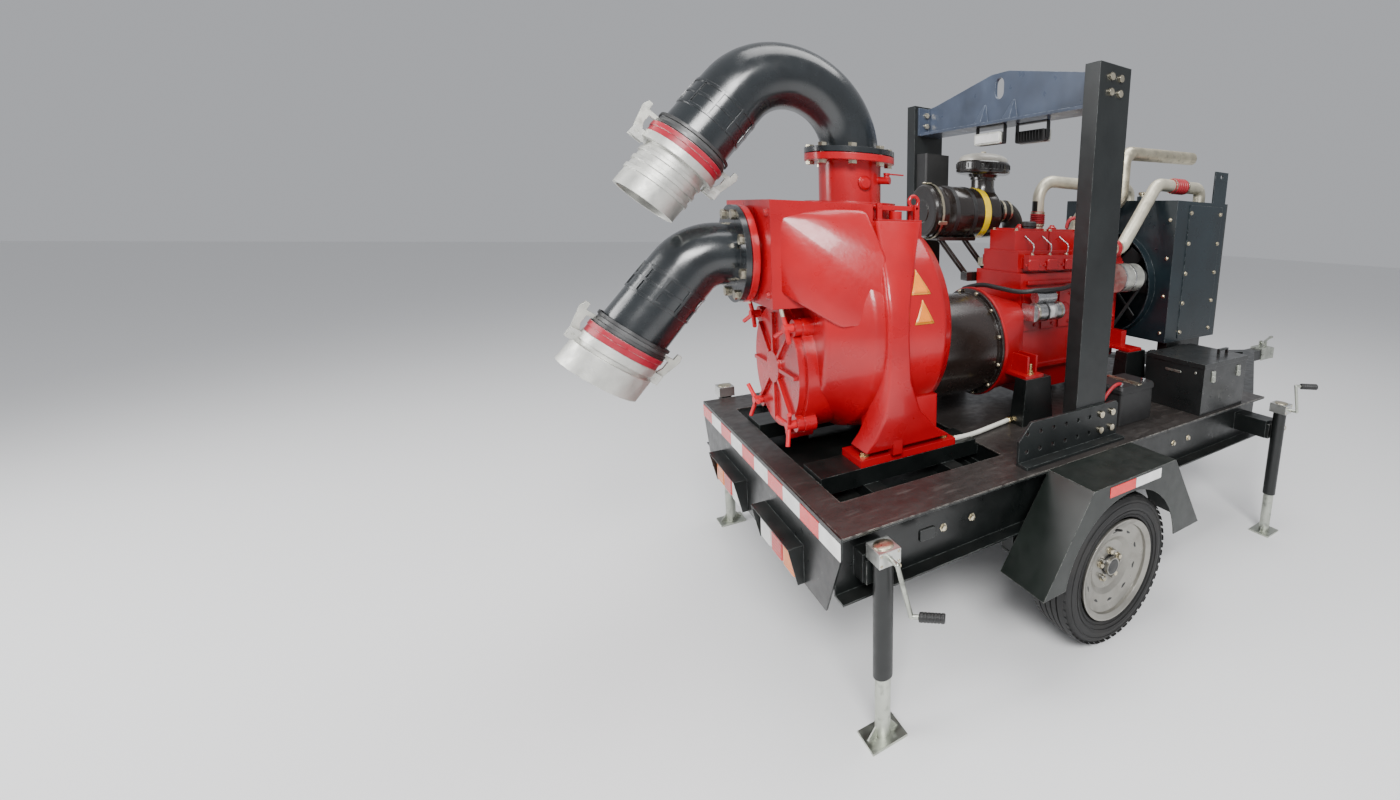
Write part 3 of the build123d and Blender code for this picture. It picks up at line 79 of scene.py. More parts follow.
class Surface:
    """A procedural material, built up from a base look and masked layers over it."""

    def __init__(self, name, base, coat=0.0, coat_rough=0.1):
        self.material = bpy.data.materials.new(name)
        self.material.use_nodes = True
        self.tree = self.material.node_tree
        self.shader = self.tree.nodes["Principled BSDF"]
        self.shader.inputs["Coat Weight"].default_value = coat
        self.shader.inputs["Coat Roughness"].default_value = coat_rough
        self.material.diffuse_color = base.colour
        self.place = self.node("ShaderNodeTexCoord").outputs["Object"]
        self.colour = self.value_node("ShaderNodeRGB", base.colour)
        self.rough = self.value_node("ShaderNodeValue", base.rough)
        self.metal = self.value_node("ShaderNodeValue", base.metal)
        self.height = None

    def node(self, kind, **settings):
        made = self.tree.nodes.new(kind)
        for key, value in settings.items():
            setattr(made, key, value)
        return made

    def value_node(self, kind, value):
        made = self.node(kind)
        made.outputs[0].default_value = value
        return made.outputs[0]

    def put(self, socket, value):
        """Links a socket, or sets a plain value."""
        if isinstance(value, bpy.types.NodeSocket):
            self.tree.links.new(value, socket)
        else:
            socket.default_value = value

    def maths(self, how, a, b=0.0):
        made = self.node("ShaderNodeMath", operation=how)
        self.put(made.inputs[0], a)
        self.put(made.inputs[1], b)
        return made.outputs[0]

    def between(self, value, low, high):
        """0 at low and below, 1 at high and above, or the other way round."""
        made = self.node("ShaderNodeMapRange")
        self.put(made.inputs["Value"], value)
        made.inputs["From Min"].default_value = low
        made.inputs["From Max"].default_value = high
        return made.outputs[0]

    def noise(self, scale, detail=3.0, stretch=(1, 1, 1)):
        mapping = self.node("ShaderNodeMapping")
        mapping.inputs["Scale"].default_value = stretch
        self.put(mapping.inputs["Vector"], self.place)
        made = self.node("ShaderNodeTexNoise")
        self.put(made.inputs["Vector"], mapping.outputs[0])
        made.inputs["Scale"].default_value = scale
        made.inputs["Detail"].default_value = detail
        return made.outputs["Fac"]

    def measure(self, origin, direction):
        """How far a point lies from origin along direction."""
        offset = self.node("ShaderNodeVectorMath", operation="SUBTRACT")
        self.put(offset.inputs[0], self.place)
        offset.inputs[1].default_value = origin
        made = self.node("ShaderNodeVectorMath", operation="DOT_PRODUCT")
        self.put(made.inputs[0], offset.outputs[0])
        made.inputs[1].default_value = direction
        return made.outputs["Value"]

    def inside(self, value, low, high):
        above = self.maths("GREATER_THAN", value, low)
        below = self.maths("LESS_THAN", value, high)
        return self.maths("MULTIPLY", above, below)

    def edges(self, radius, low=0.03, high=0.25):
        """1 on the sharp edges, 0 on the flats."""
        bevel = self.node("ShaderNodeBevel", samples=4)
        bevel.inputs["Radius"].default_value = radius
        made = self.node("ShaderNodeVectorMath", operation="DOT_PRODUCT")
        self.put(made.inputs[0], bevel.outputs[0])
        self.put(made.inputs[1], self.node("ShaderNodeNewGeometry").outputs["Normal"])
        return self.between(self.maths("SUBTRACT", 1.0, made.outputs["Value"]), low, high)

    def upward(self):
        """1 on faces that look up."""
        normal = self.node("ShaderNodeSeparateXYZ")
        self.put(normal.inputs[0], self.node("ShaderNodeNewGeometry").outputs["Normal"])
        return self.between(normal.outputs["Z"], 0.6, 0.95)

    def mix(self, kind, factor, a, b):
        made = self.node("ShaderNodeMix", data_type=kind)
        slot = {"RGBA": (6, 7, 2), "FLOAT": (2, 3, 0)}[kind]
        self.put(made.inputs[0], factor)
        self.put(made.inputs[slot[0]], a)
        self.put(made.inputs[slot[1]], b)
        return made.outputs[slot[2]]

    def layer(self, mask, look):
        self.colour = self.mix("RGBA", mask, self.colour, look.colour)
        self.rough = self.mix("FLOAT", mask, self.rough, look.rough)
        self.metal = self.mix("FLOAT", mask, self.metal, look.metal)
        return self

    def mottle(self, scale=5.0, amount=0.25, stretch=(1, 1, 1)):
        """Uneven colour, a little lighter and darker."""
        value = self.between(self.noise(scale, 5.0, stretch), 0.3, 0.7)
        made = self.node("ShaderNodeHueSaturation")
        low = self.maths("MULTIPLY", value, 2 * amount)
        self.put(made.inputs["Value"], self.maths("ADD", low, 1 - amount))
        self.put(made.inputs["Color"], self.colour)
        self.colour = made.outputs[0]
        return self

    def uneven(self, scale=18.0, amount=0.1):
        """Roughness that changes from place to place."""
        value = self.maths("SUBTRACT", self.noise(scale, 4.0), 0.5)
        value = self.maths("MULTIPLY", value, 4 * amount)
        total = self.maths("ADD", self.rough, value)
        self.rough = self.maths("MAXIMUM", total, 0.04)
        return self

    def raise_by(self, value, height):
        """Adds to the surface's height, in metres."""
        lift = self.maths("MULTIPLY", value, height)
        self.height = lift if self.height is None else self.maths("ADD", self.height, lift)
        return self

    def grain(self, scale=350.0, height=0.0002, stretch=(1, 1, 1)):
        return self.raise_by(self.noise(scale, 2.0, stretch), height)

    def worn(self, look, radius=0.004, low=0.03, high=0.25):
        """Sharp edges show another look, broken up by noise."""
        patch = self.between(self.noise(45.0, 5.0), 0.38, 0.6)
        return self.layer(self.maths("MULTIPLY", self.edges(radius, low, high), patch), look)

    def dusty(self, colour, amount=0.4, scale=7.0):
        patch = self.between(self.noise(scale, 6.0), 0.35, 0.75)
        mask = self.maths("MULTIPLY", self.upward(), patch)
        return self.layer(self.maths("MULTIPLY", mask, amount), Look(colour, 0.7))

    def done(self, soft_edge=0.002):
        """Links everything and gives the material."""
        self.put(self.shader.inputs["Base Color"], self.colour)
        self.put(self.shader.inputs["Roughness"], self.rough)
        self.put(self.shader.inputs["Metallic"], self.metal)
        bump = self.node("ShaderNodeBump")
        bump.inputs["Strength"].default_value = 0.7
        bump.inputs["Distance"].default_value = 1.0
        if self.height is not None:
            self.put(bump.inputs["Height"], self.height)
        if soft_edge:
            bevel = self.node("ShaderNodeBevel", samples=4)
            bevel.inputs["Radius"].default_value = soft_edge
            self.put(bump.inputs["Normal"], bevel.outputs[0])
        self.put(self.shader.inputs["Normal"], bump.outputs[0])
        return self.material


DUST = (0.20, 0.19, 0.17)


def red_paint(name, colour=PUMP_RED, rough=0.30, lumps=0.0006):
    made = Surface(name, Look(colour, rough), coat=0.28, coat_rough=0.08)
    made.mottle(4.0, 0.16).uneven(14.0, 0.07)
    made.grain(60.0, lumps).grain(420.0, 0.00012)
    made.worn(Look((0.30, 0.004, 0.008), 0.5), 0.005)
    return made.done(0.005)


def black_paint(name, colour=DARK, rough=0.34, coat=0.12, edge=(0.16, 0.18, 0.17), dust=0.06):
    made = Surface(name, Look(colour, rough), coat=coat, coat_rough=0.2)
    made.mottle(6.0, 0.3).uneven(22.0, 0.09)
    made.dusty(DUST, dust)
    made.grain(500.0, 0.00012)
    made.worn(Look(edge, 0.35), 0.003)
    return made.done(0.003)


def metal(name, colour, rough, grain=(1, 1, 1), bump=0.00015, dark=0.35):
    made = Surface(name, Look(colour, rough, 1.0))
    made.layer(
        made.between(made.noise(30.0, 6.0), 0.55, 0.8),
        Look([dark * c for c in colour], rough + 0.2, 0.8),
    )
    made.mottle(12.0, 0.18, grain).uneven(40.0, 0.12)
    made.grain(260.0, bump, grain)
    return made.done(0.0015)


def plastic(name, colour, rough, coat=0.0, bump=0.0001):
    made = Surface(name, Look(colour, rough), coat=coat, coat_rough=0.08)
    made.mottle(20.0, 0.12).uneven(30.0, 0.06).grain(700.0, bump)
    return made.done(0.0015)


pump_red = red_paint("pump_red")
engine_red = red_paint("engine_red", (0.36, 0.001, 0.005), 0.34, 0.0003)
chassis_black = black_paint("chassis_black")
post_black = black_paint("post_black", (0.009, 0.011, 0.011), 0.40, 0.08)
fender_black = black_paint("fender_black", (0.008, 0.011, 0.009), 0.38, 0.12, (0.30, 0.31, 0.28))
elbow_black = black_paint("elbow_black", (0.012, 0.015, 0.017), 0.24, 0.6, (0.05, 0.05, 0.05), 0.1)
drum_black = black_paint("drum_black", (0.016, 0.010, 0.008), 0.24, 0.7, dust=0.1)
cleaner_black = black_paint("cleaner_black", (0.014, 0.010, 0.008), 0.18, 0.8, dust=0.15)
box_black = black_paint("box_black", (0.012, 0.013, 0.013), 0.32, 0.3)
galvanised = metal("galvanised", (0.50, 0.52, 0.46), 0.42)
cast_alloy = metal("cast_alloy", (0.66, 0.66, 0.60), 0.48, bump=0.0003)
steel = metal("steel", (0.50, 0.50, 0.50), 0.30, (1, 6, 6))
zinc = metal("zinc", (0.62, 0.56, 0.42), 0.32)
yellow_zinc = metal("yellow_zinc", (0.66, 0.52, 0.26), 0.32)
heat_steel = metal("heat_steel", (0.60, 0.55, 0.42), 0.45)
cast_dark = metal("cast_dark", (0.10, 0.10, 0.10), 0.5, bump=0.0004)
black_plastic = plastic("black_plastic", (0.018, 0.018, 0.018), 0.45)
belt_rubber = plastic("belt_rubber", (0.02, 0.02, 0.02), 0.7)
hose_red = plastic("hose_red", (0.34, 0.012, 0.02), 0.45)
tape_red = plastic("tape_red", (0.75, 0.01, 0.01), 0.22, 0.5)
tape_white = plastic("tape_white", (0.82, 0.82, 0.80), 0.22, 0.5)
lens_red = plastic("lens_red", (0.55, 0.012, 0.01), 0.12, 0.8)
lens_amber = plastic("lens_amber", (0.80, 0.20, 0.015), 0.12, 0.8)
lens_white = plastic("lens_white", (0.72, 0.72, 0.70), 0.12, 0.8)
warning_orange = plastic("warning_orange", (0.88, 0.24, 0.015), 0.3, 0.4)
warning_edge = plastic("warning_edge", (0.80, 0.34, 0.04), 0.3, 0.4)
band_yellow = plastic("band_yellow", (0.86, 0.60, 0.01), 0.28, 0.5)


def deck_steel():
    """Walked-on deck plate: brownish black, scuffed, with bright worn edges."""
    made = Surface("deck_steel", Look((0.026, 0.022, 0.020), 0.42), coat=0.15, coat_rough=0.25)
    made.mottle(3.0, 0.35, (1, 3, 1))
    scuff = made.between(made.noise(9.0, 7.0, (1, 5, 1)), 0.58, 0.72)
    made.layer(made.maths("MULTIPLY", scuff, 0.35), Look((0.11, 0.10, 0.09), 0.55))
    made.uneven(30.0, 0.14)
    made.worn(Look((0.42, 0.40, 0.36), 0.4, 0.6), 0.004, 0.02, 0.15)
    made.grain(300.0, 0.0002)
    return made.done(0.002)


def tyre_rubber():
    """Matt black rubber, with paler dirt in patches."""
    made = Surface("tyre_rubber", Look((0.010, 0.010, 0.010), 0.62))
    made.mottle(14.0, 0.2)
    made.layer(made.between(made.noise(7.0, 5.0), 0.5, 0.8), Look((0.03, 0.028, 0.026), 0.8))
    made.grain(500.0, 0.0003)
    return made.done(0.003)


def rim_paint():
    made = Surface("rim_paint", Look((0.30, 0.29, 0.26), 0.34, 0.75), coat=0.15)
    made.mottle(9.0, 0.15).uneven(30.0, 0.1)
    dirt = made.between(made.noise(12.0, 6.0), 0.5, 0.75)
    made.layer(made.maths("MULTIPLY", dirt, 0.5), Look((0.10, 0.085, 0.07), 0.7))
    made.grain(300.0, 0.0001)
    return made.done(0.003)


def hose_end(name, origin, down):
    """Grey collar, red seal ring and pale cast end, in that order along the hose."""
    made = Surface(name, Look((0.62, 0.62, 0.58), 0.5, 0.75))
    along = made.measure(origin, down)
    made.layer(made.inside(along, -0.01, 0.0421), Look((0.10, 0.10, 0.10), 0.45, 0.4))
    made.layer(made.inside(along, 0.026, 0.0615), Look((0.36, 0.012, 0.03), 0.4))
    made.mottle(12.0, 0.14).uneven(30.0, 0.14)
    made.grain(140.0, 0.0005).grain(500.0, 0.0002)
    made.worn(Look((0.80, 0.80, 0.76), 0.3, 0.9), 0.003)
    return made.done(0.003)


def radiator_paint():
    """Dark panels, and a finned core on the front face."""
    made = Surface("radiator_paint", Look((0.007, 0.014, 0.018), 0.34), coat=0.2)
    made.mottle(5.0, 0.3).uneven(20.0, 0.1)
    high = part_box("radiator")[1]
    core = made.inside(made.measure(high, X), -0.012, 0.01)
    fins = made.node("ShaderNodeTexWave", wave_type="BANDS", bands_direction="Z")
    fins.inputs["Scale"].default_value = 70.0
    made.put(fins.inputs["Vector"], made.place)
    made.layer(core, Look((0.05, 0.055, 0.055), 0.5, 0.6))
    made.raise_by(made.maths("MULTIPLY", fins.outputs["Fac"], core), 0.002)
    made.worn(Look((0.20, 0.22, 0.22), 0.35), 0.003)
    return made.done(0.003)


def pipe_metal():
    """Cream charge pipes, with the black intake pipe below them."""
    made = Surface("pipe_metal", Look((0.62, 0.58, 0.46), 0.42, 0.55))
    made.mottle(10.0, 0.2).uneven(30.0, 0.14).grain(200.0, 0.0002)
    origin = at(0, 0, 0)
    low = made.inside(made.measure(origin, Z), 1.3, 1.68)
    near = made.inside(made.measure(origin, X), 1.3, 1.64)
    left = made.inside(made.measure(origin, Y), 0.1, 0.4)
    mask = made.maths("MULTIPLY", made.maths("MULTIPLY", low, near), left)
    made.layer(mask, Look((0.014, 0.013, 0.012), 0.3))
    return made.done(0.002)


def fastener_metal():
    """Zinc bolts, with the cover's painted hand nuts at the rear."""
    made = Surface("fastener_metal", Look((0.66, 0.60, 0.46), 0.3, 1.0))
    made.mottle(40.0, 0.2).uneven(60.0, 0.12)
    rear = made.inside(made.measure(at(0, 0, 0), X), -0.02, 0.2)
    low = made.inside(made.measure(at(0, 0, 0), Z), 0.6, 1.22)
    made.layer(made.maths("MULTIPLY", rear, low), Look((0.62, 0.01, 0.02), 0.35))
    made.grain(400.0, 0.0001)
    return made.done(0.0015)


HOSE_DROOP = radians(51)
hose_down = Vector((-cos(HOSE_DROOP), 0, -sin(HOSE_DROOP)))
PIVOT_ALONG = 0.088
pivots = {}
for joint in frame["joints"]:
    if "_swing" in joint["name"]:
        pivots[joint["name"]] = Vector(joint["pos_m"])


def hose_end_place(label):
    """Where a hose coupling starts: midway between its lever pins, less their distance along."""
    pair = [pivots[f"{label}_lever_{level}_swing"] for level in ("upper", "lower")]
    return sum(pair, Vector()) / 2 - hose_down * PIVOT_ALONG


discharge_end = hose_end_place("discharge")
suction_end = hose_end_place("suction")

finishes = {
    "deck_plate": deck_steel(),
    "rear_panel": chassis_black,
    "lifting_posts": post_black,
    "lifting_beam": black_paint("beam_blue", (0.048, 0.064, 0.098), 0.34, 0.3, (0.42, 0.47, 0.55)),
    "control_box": black_plastic,
    "pump_casing": pump_red,
    "cover_plate": pump_red,
    "fill_clamp": pump_red,
    "valve_lever": pump_red,
    "fenders": fender_black,
    "coupling_drum": drum_black,
    "flywheel_housing": engine_red,
    "engine_block": engine_red,
    "cylinder_head": engine_red,
    "starter": steel,
    "alternator": cast_alloy,
    "alternator_rotor": steel,
    "crankshaft": steel,
    "pump_shaft": steel,
    "impeller": cast_dark,
    "bearing_housing": cast_dark,
    "cooling_fan": black_plastic,
    "fan_belt": belt_rubber,
    "radiator": radiator_paint(),
    "air_pipes": pipe_metal(),
    "exhaust_system": heat_steel,
    "air_cleaner": cleaner_black,
    "toolbox": box_black,
    "toolbox_lid": box_black,
    "fasteners": fastener_metal(),
    "tow_coupling": galvanised,
    "coupling_lever": galvanised,
    "rim_left": rim_paint(),
    "discharge_elbow": elbow_black,
    "suction_elbow": elbow_black,
    "discharge_coupling": hose_end("discharge_end", discharge_end, hose_down),
    "suction_coupling": hose_end("suction_end", suction_end, hose_down),
    "tyre_left": tyre_rubber(),
}
finishes["rim_right"] = finishes["rim_left"]
finishes["tyre_right"] = finishes["tyre_left"]
for name, node in nodes.items():
    if "lever_upper" in name or "lever_lower" in name:
        finish = cast_alloy
    elif name.startswith(("jack_leg", "jack_crank")):
        finish = galvanised
    else:
        finish = finishes.get(name, chassis_black)
    for number in range(max(1, len(node.material_slots))):
        if not node.material_slots:
            node.data.materials.append(finish)
        node.material_slots[number].material = finish


# ---------------------------------------------------------------- Shapes
def piece(name, mesh, materials, body="chassis", angle=35):
    """A new object from a bmesh, smooth-shaded, riding on a body."""
    data = bpy.data.meshes.new(name)
    bmesh.ops.recalc_face_normals(mesh, faces=mesh.faces)
    mesh.to_mesh(data)
    mesh.free()
    for material in materials if isinstance(materials, (list, tuple)) else [materials]:
        data.materials.append(material)
    made = bpy.data.objects.new(name, data)
    bpy.context.scene.collection.objects.link(made)
    data.shade_smooth()
    data.set_sharp_from_angle(angle=radians(angle))
    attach(made, body)
    return made


def facing(axis):
    """A matrix whose Z lies along axis."""
    return Vector(axis).to_track_quat("Z", "Y").to_matrix().to_4x4()


def lathe_into(mesh, base, axis, profile, steps=40, material=0, closed=False):
    """Turns (along, radius) pairs round an axis, and caps the ends."""
    turn = Matrix.Translation(Vector(base)) @ facing(axis)
    rings = []
    for along, radius in profile:
        ring = []
        for n in range(steps):
            angle = 2 * pi * n / steps
            corner = Vector((radius * cos(angle), radius * sin(angle), along))
            ring.append(mesh.verts.new(turn @ corner))
        rings.append(ring)
    pairs = list(zip(rings, rings[1:]))
    if closed:
        pairs.append((rings[-1], rings[0]))
    for a, b in pairs:
        for n in range(steps):
            m = (n + 1) % steps
            mesh.faces.new((a[n], a[m], b[m], b[n])).material_index = material
    if not closed:
        for ring in (rings[0], rings[-1]):
            mesh.faces.new(ring).material_index = material


def lathe(name, base, axis, profile, material, body="chassis", steps=48, closed=False):
    mesh = bmesh.new()
    lathe_into(mesh, base, axis, profile, steps, 0, closed)
    return piece(name, mesh, material, body)


def slab_into(mesh, outline, axis, thickness, bevel=0.0, material=0):
    """A plate from its outline's corners, thickened along axis with a bevelled face."""
    base = [mesh.verts.new(p) for p in outline]
    centre = sum((Vector(p) for p in outline), Vector()) / len(outline)
    lift = Vector(axis) * thickness
    rows = [base]
    if bevel:
        rows.append([mesh.verts.new(Vector(p) + lift * 0.6) for p in outline])
    shrunk = []
    for p in outline:
        inward = (centre - Vector(p)).normalized() * bevel
        shrunk.append(mesh.verts.new(Vector(p) + inward + lift))
    rows.append(shrunk)
    for low, high in zip(rows, rows[1:]):
        for n in range(len(outline)):
            m = (n + 1) % len(outline)
            mesh.faces.new((low[n], low[m], high[m], high[n])).material_index = material
    mesh.faces.new(rows[-1]).material_index = material
    mesh.faces.new(list(reversed(base))).material_index = material


def rounded(centre, across, up, width, height, radius, steps=5):
    """Corner points of a rounded rectangle lying across and up from its centre."""
    points = []
    for quarter, (sx, sy) in enumerate(((1, 1), (-1, 1), (-1, -1), (1, -1))):
        for n in range(steps + 1):
            angle = pi / 2 * (quarter + n / steps)
            dx = sx * (width / 2 - radius) + radius * cos(angle)
            dy = sy * (height / 2 - radius) + radius * sin(angle)
            points.append(centre + across * dx + up * dy)
    return points


def wire(name, points, radius, material, body="chassis"):
    """A round tube along a smooth path."""
    curve = bpy.data.curves.new(name, "CURVE")
    curve.dimensions = "3D"
    curve.bevel_depth = radius
    curve.bevel_resolution = 5
    curve.resolution_u = 10
    curve.use_fill_caps = True
    spline = curve.splines.new("NURBS")
    spline.points.add(len(points) - 1)
    for point, place in zip(spline.points, points):
        point.co = (*place, 1)
    spline.order_u = 3
    spline.use_endpoint_u = True
    curve.materials.append(material)
    made = bpy.data.objects.new(name, curve)
    bpy.context.scene.collection.objects.link(made)
    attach(made, body)
    return made


def bolts(name, places, axis, radius, height, material, body="chassis"):
    """Hexagon heads with a chamfered crown and a washer under each."""
    mesh = bmesh.new()
    for place in places:
        washer = [(0, radius * 1.25), (height * 0.2, radius * 1.25), (height * 0.2, radius)]
        lathe_into(mesh, place, axis, washer, 20)
        head = [(height * 0.2, radius), (height * 0.85, radius), (height, radius * 0.8)]
        lathe_into(mesh, place, axis, head, 6)
    return piece(name, mesh, material, body)


# ---------------------------------------------------------------- Rear panel and tape
TAPE_COUNT = 10
TAPE_LOW = 0.604
TAPE_HIGH = 0.660
mesh = bmesh.new()
segment = 2 * HALF_DECK / TAPE_COUNT
for n in range(TAPE_COUNT):
    y = HALF_DECK - (n + 0.5) * segment
    centre = at(-0.0002, y, (TAPE_LOW + TAPE_HIGH) / 2)
    outline = rounded(centre, Y, Z, segment - 0.001, TAPE_HIGH - TAPE_LOW, 0.003)
    slab_into(mesh, outline, -X, 0.0012, 0.0006, n % 2)
piece("tape_rear", mesh, [tape_red, tape_white])

for side, label in ((-1, "right"), (1, "left")):
    mesh = bmesh.new()
    face_y = side * 0.9582
    for n, (start, end) in enumerate(((0.916, 1.062), (1.064, 1.220))):
        centre = at((start + end) / 2, face_y, 0.6465)
        outline = rounded(centre, X, Z, end - start, 0.039, 0.003)
        slab_into(mesh, outline, Y * side, 0.0012, 0.0006, n)
    piece(f"tape_fender_{label}", mesh, [tape_red, tape_white])

# ---------------------------------------------------------------- Lamps
HOOD_TOP = 0.515
HOOD_LOW = 0.393
LENS_PITCH = 0.112
HOOD_CENTRE = 0.287
mesh = bmesh.new()
for side in (-1, 1):
    for n in range(3):
        y = side * (HOOD_CENTRE + (n - 1) * LENS_PITCH)
        centre = at(0, y, (HOOD_TOP + HOOD_LOW) / 2 - 0.002)
        outline = rounded(centre, Y, Z, 0.107, 0.112, 0.008)
        slab_into(mesh, outline, -X, 0.014, 0.001, 3)
        lens = rounded(centre - X * 0.012, Y, Z, 0.099, 0.104, 0.008)
        slab_into(mesh, lens, -X, 0.014, 0.005, n)
        for rib in range(8):
            z = centre.z - 0.042 + rib * 0.012
            bar = rounded(Vector((centre.x - 0.0245, y, z)), Y, Z, 0.086, 0.005, 0.0024, 3)
            slab_into(mesh, bar, -X, 0.0028, 0.001, n)
rear_lamps = piece("rear_lamps", mesh, [lens_white, lens_red, lens_amber, black_plastic])
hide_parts("lamps")


def flood(label, y, s, face, glass):
    """A work lamp: finned housing, bezel and lens, hung on a bracket under the beam."""
    mesh = bmesh.new()
    body = at(s, y, 1.935)
    front = X * face
    slab_into(mesh, rounded(body, Y, Z, 0.186, 0.050, 0.010), front, 0.030, 0.004, 0)
    slab_into(mesh, rounded(body + front * 0.028, Y, Z, 0.190, 0.052, 0.010), front, 0.010, 0.002, 1)
    slab_into(mesh, rounded(body + front * 0.037, Y, Z, 0.170, 0.036, 0.006), front, 0.004, 0.002, 2)
    for n in range(9):
        fin = body + Y * (-0.072 + 0.018 * n) - front * 0.008
        slab_into(mesh, rounded(fin, X, Z, 0.018, 0.044, 0.003, 3), Y, 0.003, 0.0005, 0)
    for end in (-1, 1):
        arm = Vector((body.x + face * 0.015, y + end * 0.0955, 1.957))
        slab_into(mesh, rounded(arm, X, Z, 0.020, 0.070, 0.006, 3), Y * end, 0.003, 0.0006, 0)
    bar = Vector((body.x + face * 0.015, y, 1.9915))
    slab_into(mesh, rounded(bar, X, Y, 0.020, 0.196, 0.004, 3), Z, 0.003, 0.0006, 0)
    return piece(f"flood_{label}", mesh, [black_plastic, cast_alloy, glass])


flood("left", 0.022, 1.145, -1, lens_white)
flood("right", -0.190, 1.173, 1, cast_alloy)

# ---------------------------------------------------------------- Jacks
JACK_HEAD = 0.046
CRANK_ARM = 0.175
GRIP_RADIUS = 0.0145
for jack_name in ("rear_right", "rear_left", "front_right", "front_left"):
    node = nodes[f"jack_tube_{jack_name}"]
    low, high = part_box(f"jack_tube_{jack_name}")
    painted = Surface(f"jack_paint_{jack_name}", Look(DARK, 0.38), coat=0.1)
    height = painted.measure(Vector((0, 0, high.z - JACK_HEAD - 0.0005)), Z)
    painted.layer(painted.inside(height, 0, 1), Look((0.62, 0.63, 0.60), 0.34, 0.9))
    painted.mottle(14.0, 0.2).uneven(40.0, 0.1).grain(400.0, 0.0002)
    painted.worn(Look((0.45, 0.45, 0.42), 0.35, 0.8), 0.003)
    for material_slot in node.material_slots:
        material_slot.material = painted.done(0.003)
    side = -1 if "right" in jack_name else 1
    tube_x = (low.x + high.x) / 2
    head_y = side * max(side * low.y, side * high.y)
    body = f"jack_{jack_name}"
    screws = []
    for dx in (-0.028, 0.028):
        for dz in (-0.008, -0.038):
            screws.append(Vector((tube_x + dx, head_y, high.z + dz)))
    bolts(f"jack_screws_{jack_name}", screws, Y * side, 0.0035, 0.002, zinc, body)
    cap = [(0, 0.030), (0.002, 0.030), (0.004, 0.027), (0.0045, 0.010)]
    head = Vector((tube_x, head_y - side * 0.040, high.z))
    lathe(f"jack_cap_{jack_name}", head, Z, cap, zinc, body)
    reach = 0.043 if "rear" in jack_name else 0.151
    tube_y = side * (HALF_DECK + reach)
    ring_centre = Vector((tube_x + 0.044, tube_y, 0.588))
    ring = []
    for k in range(13):
        a = 2 * pi * k / 12
        ring.append(ring_centre + Vector((0.004 * sin(3 * a), 0.020 * sin(a), 0.020 * cos(a) - 0.018)))
    wire(f"jack_ring_{jack_name}", ring, 0.0022, zinc, body)
    pin = [(0, 0.006), (0.012, 0.006), (0.014, 0.004)]
    lathe(f"jack_pin_{jack_name}", ring_centre - X * 0.006, X, pin, zinc, body)
    arm_lean, arm_rise = (0.23, -0.97) if "rear" in jack_name else (-0.5, 0.86)
    shaft = Vector((tube_x, tube_y + side * 0.078, high.z - 0.024))
    arm_end = shaft + Vector((CRANK_ARM * arm_lean, side * 0.012, CRANK_ARM * arm_rise))
    grip = Vector((0.095 * 0.75, side * 0.095 * 0.65, 0))
    length = grip.length * 0.78
    start = arm_end + grip * 0.25
    profile = [(-0.002, 0.009), (0, 0.0135), (0.006, GRIP_RADIUS)]
    for n in range(6):
        profile += [
            (0.010 + 0.010 * n, GRIP_RADIUS),
            (0.012 + 0.010 * n, 0.0128),
            (0.015 + 0.010 * n, GRIP_RADIUS),
        ]
    profile += [(length - 0.002, GRIP_RADIUS), (length + 0.001, 0.012)]
    lathe(f"jack_grip_{jack_name}", start, grip, profile, black_plastic, f"crank_{jack_name}", 24)

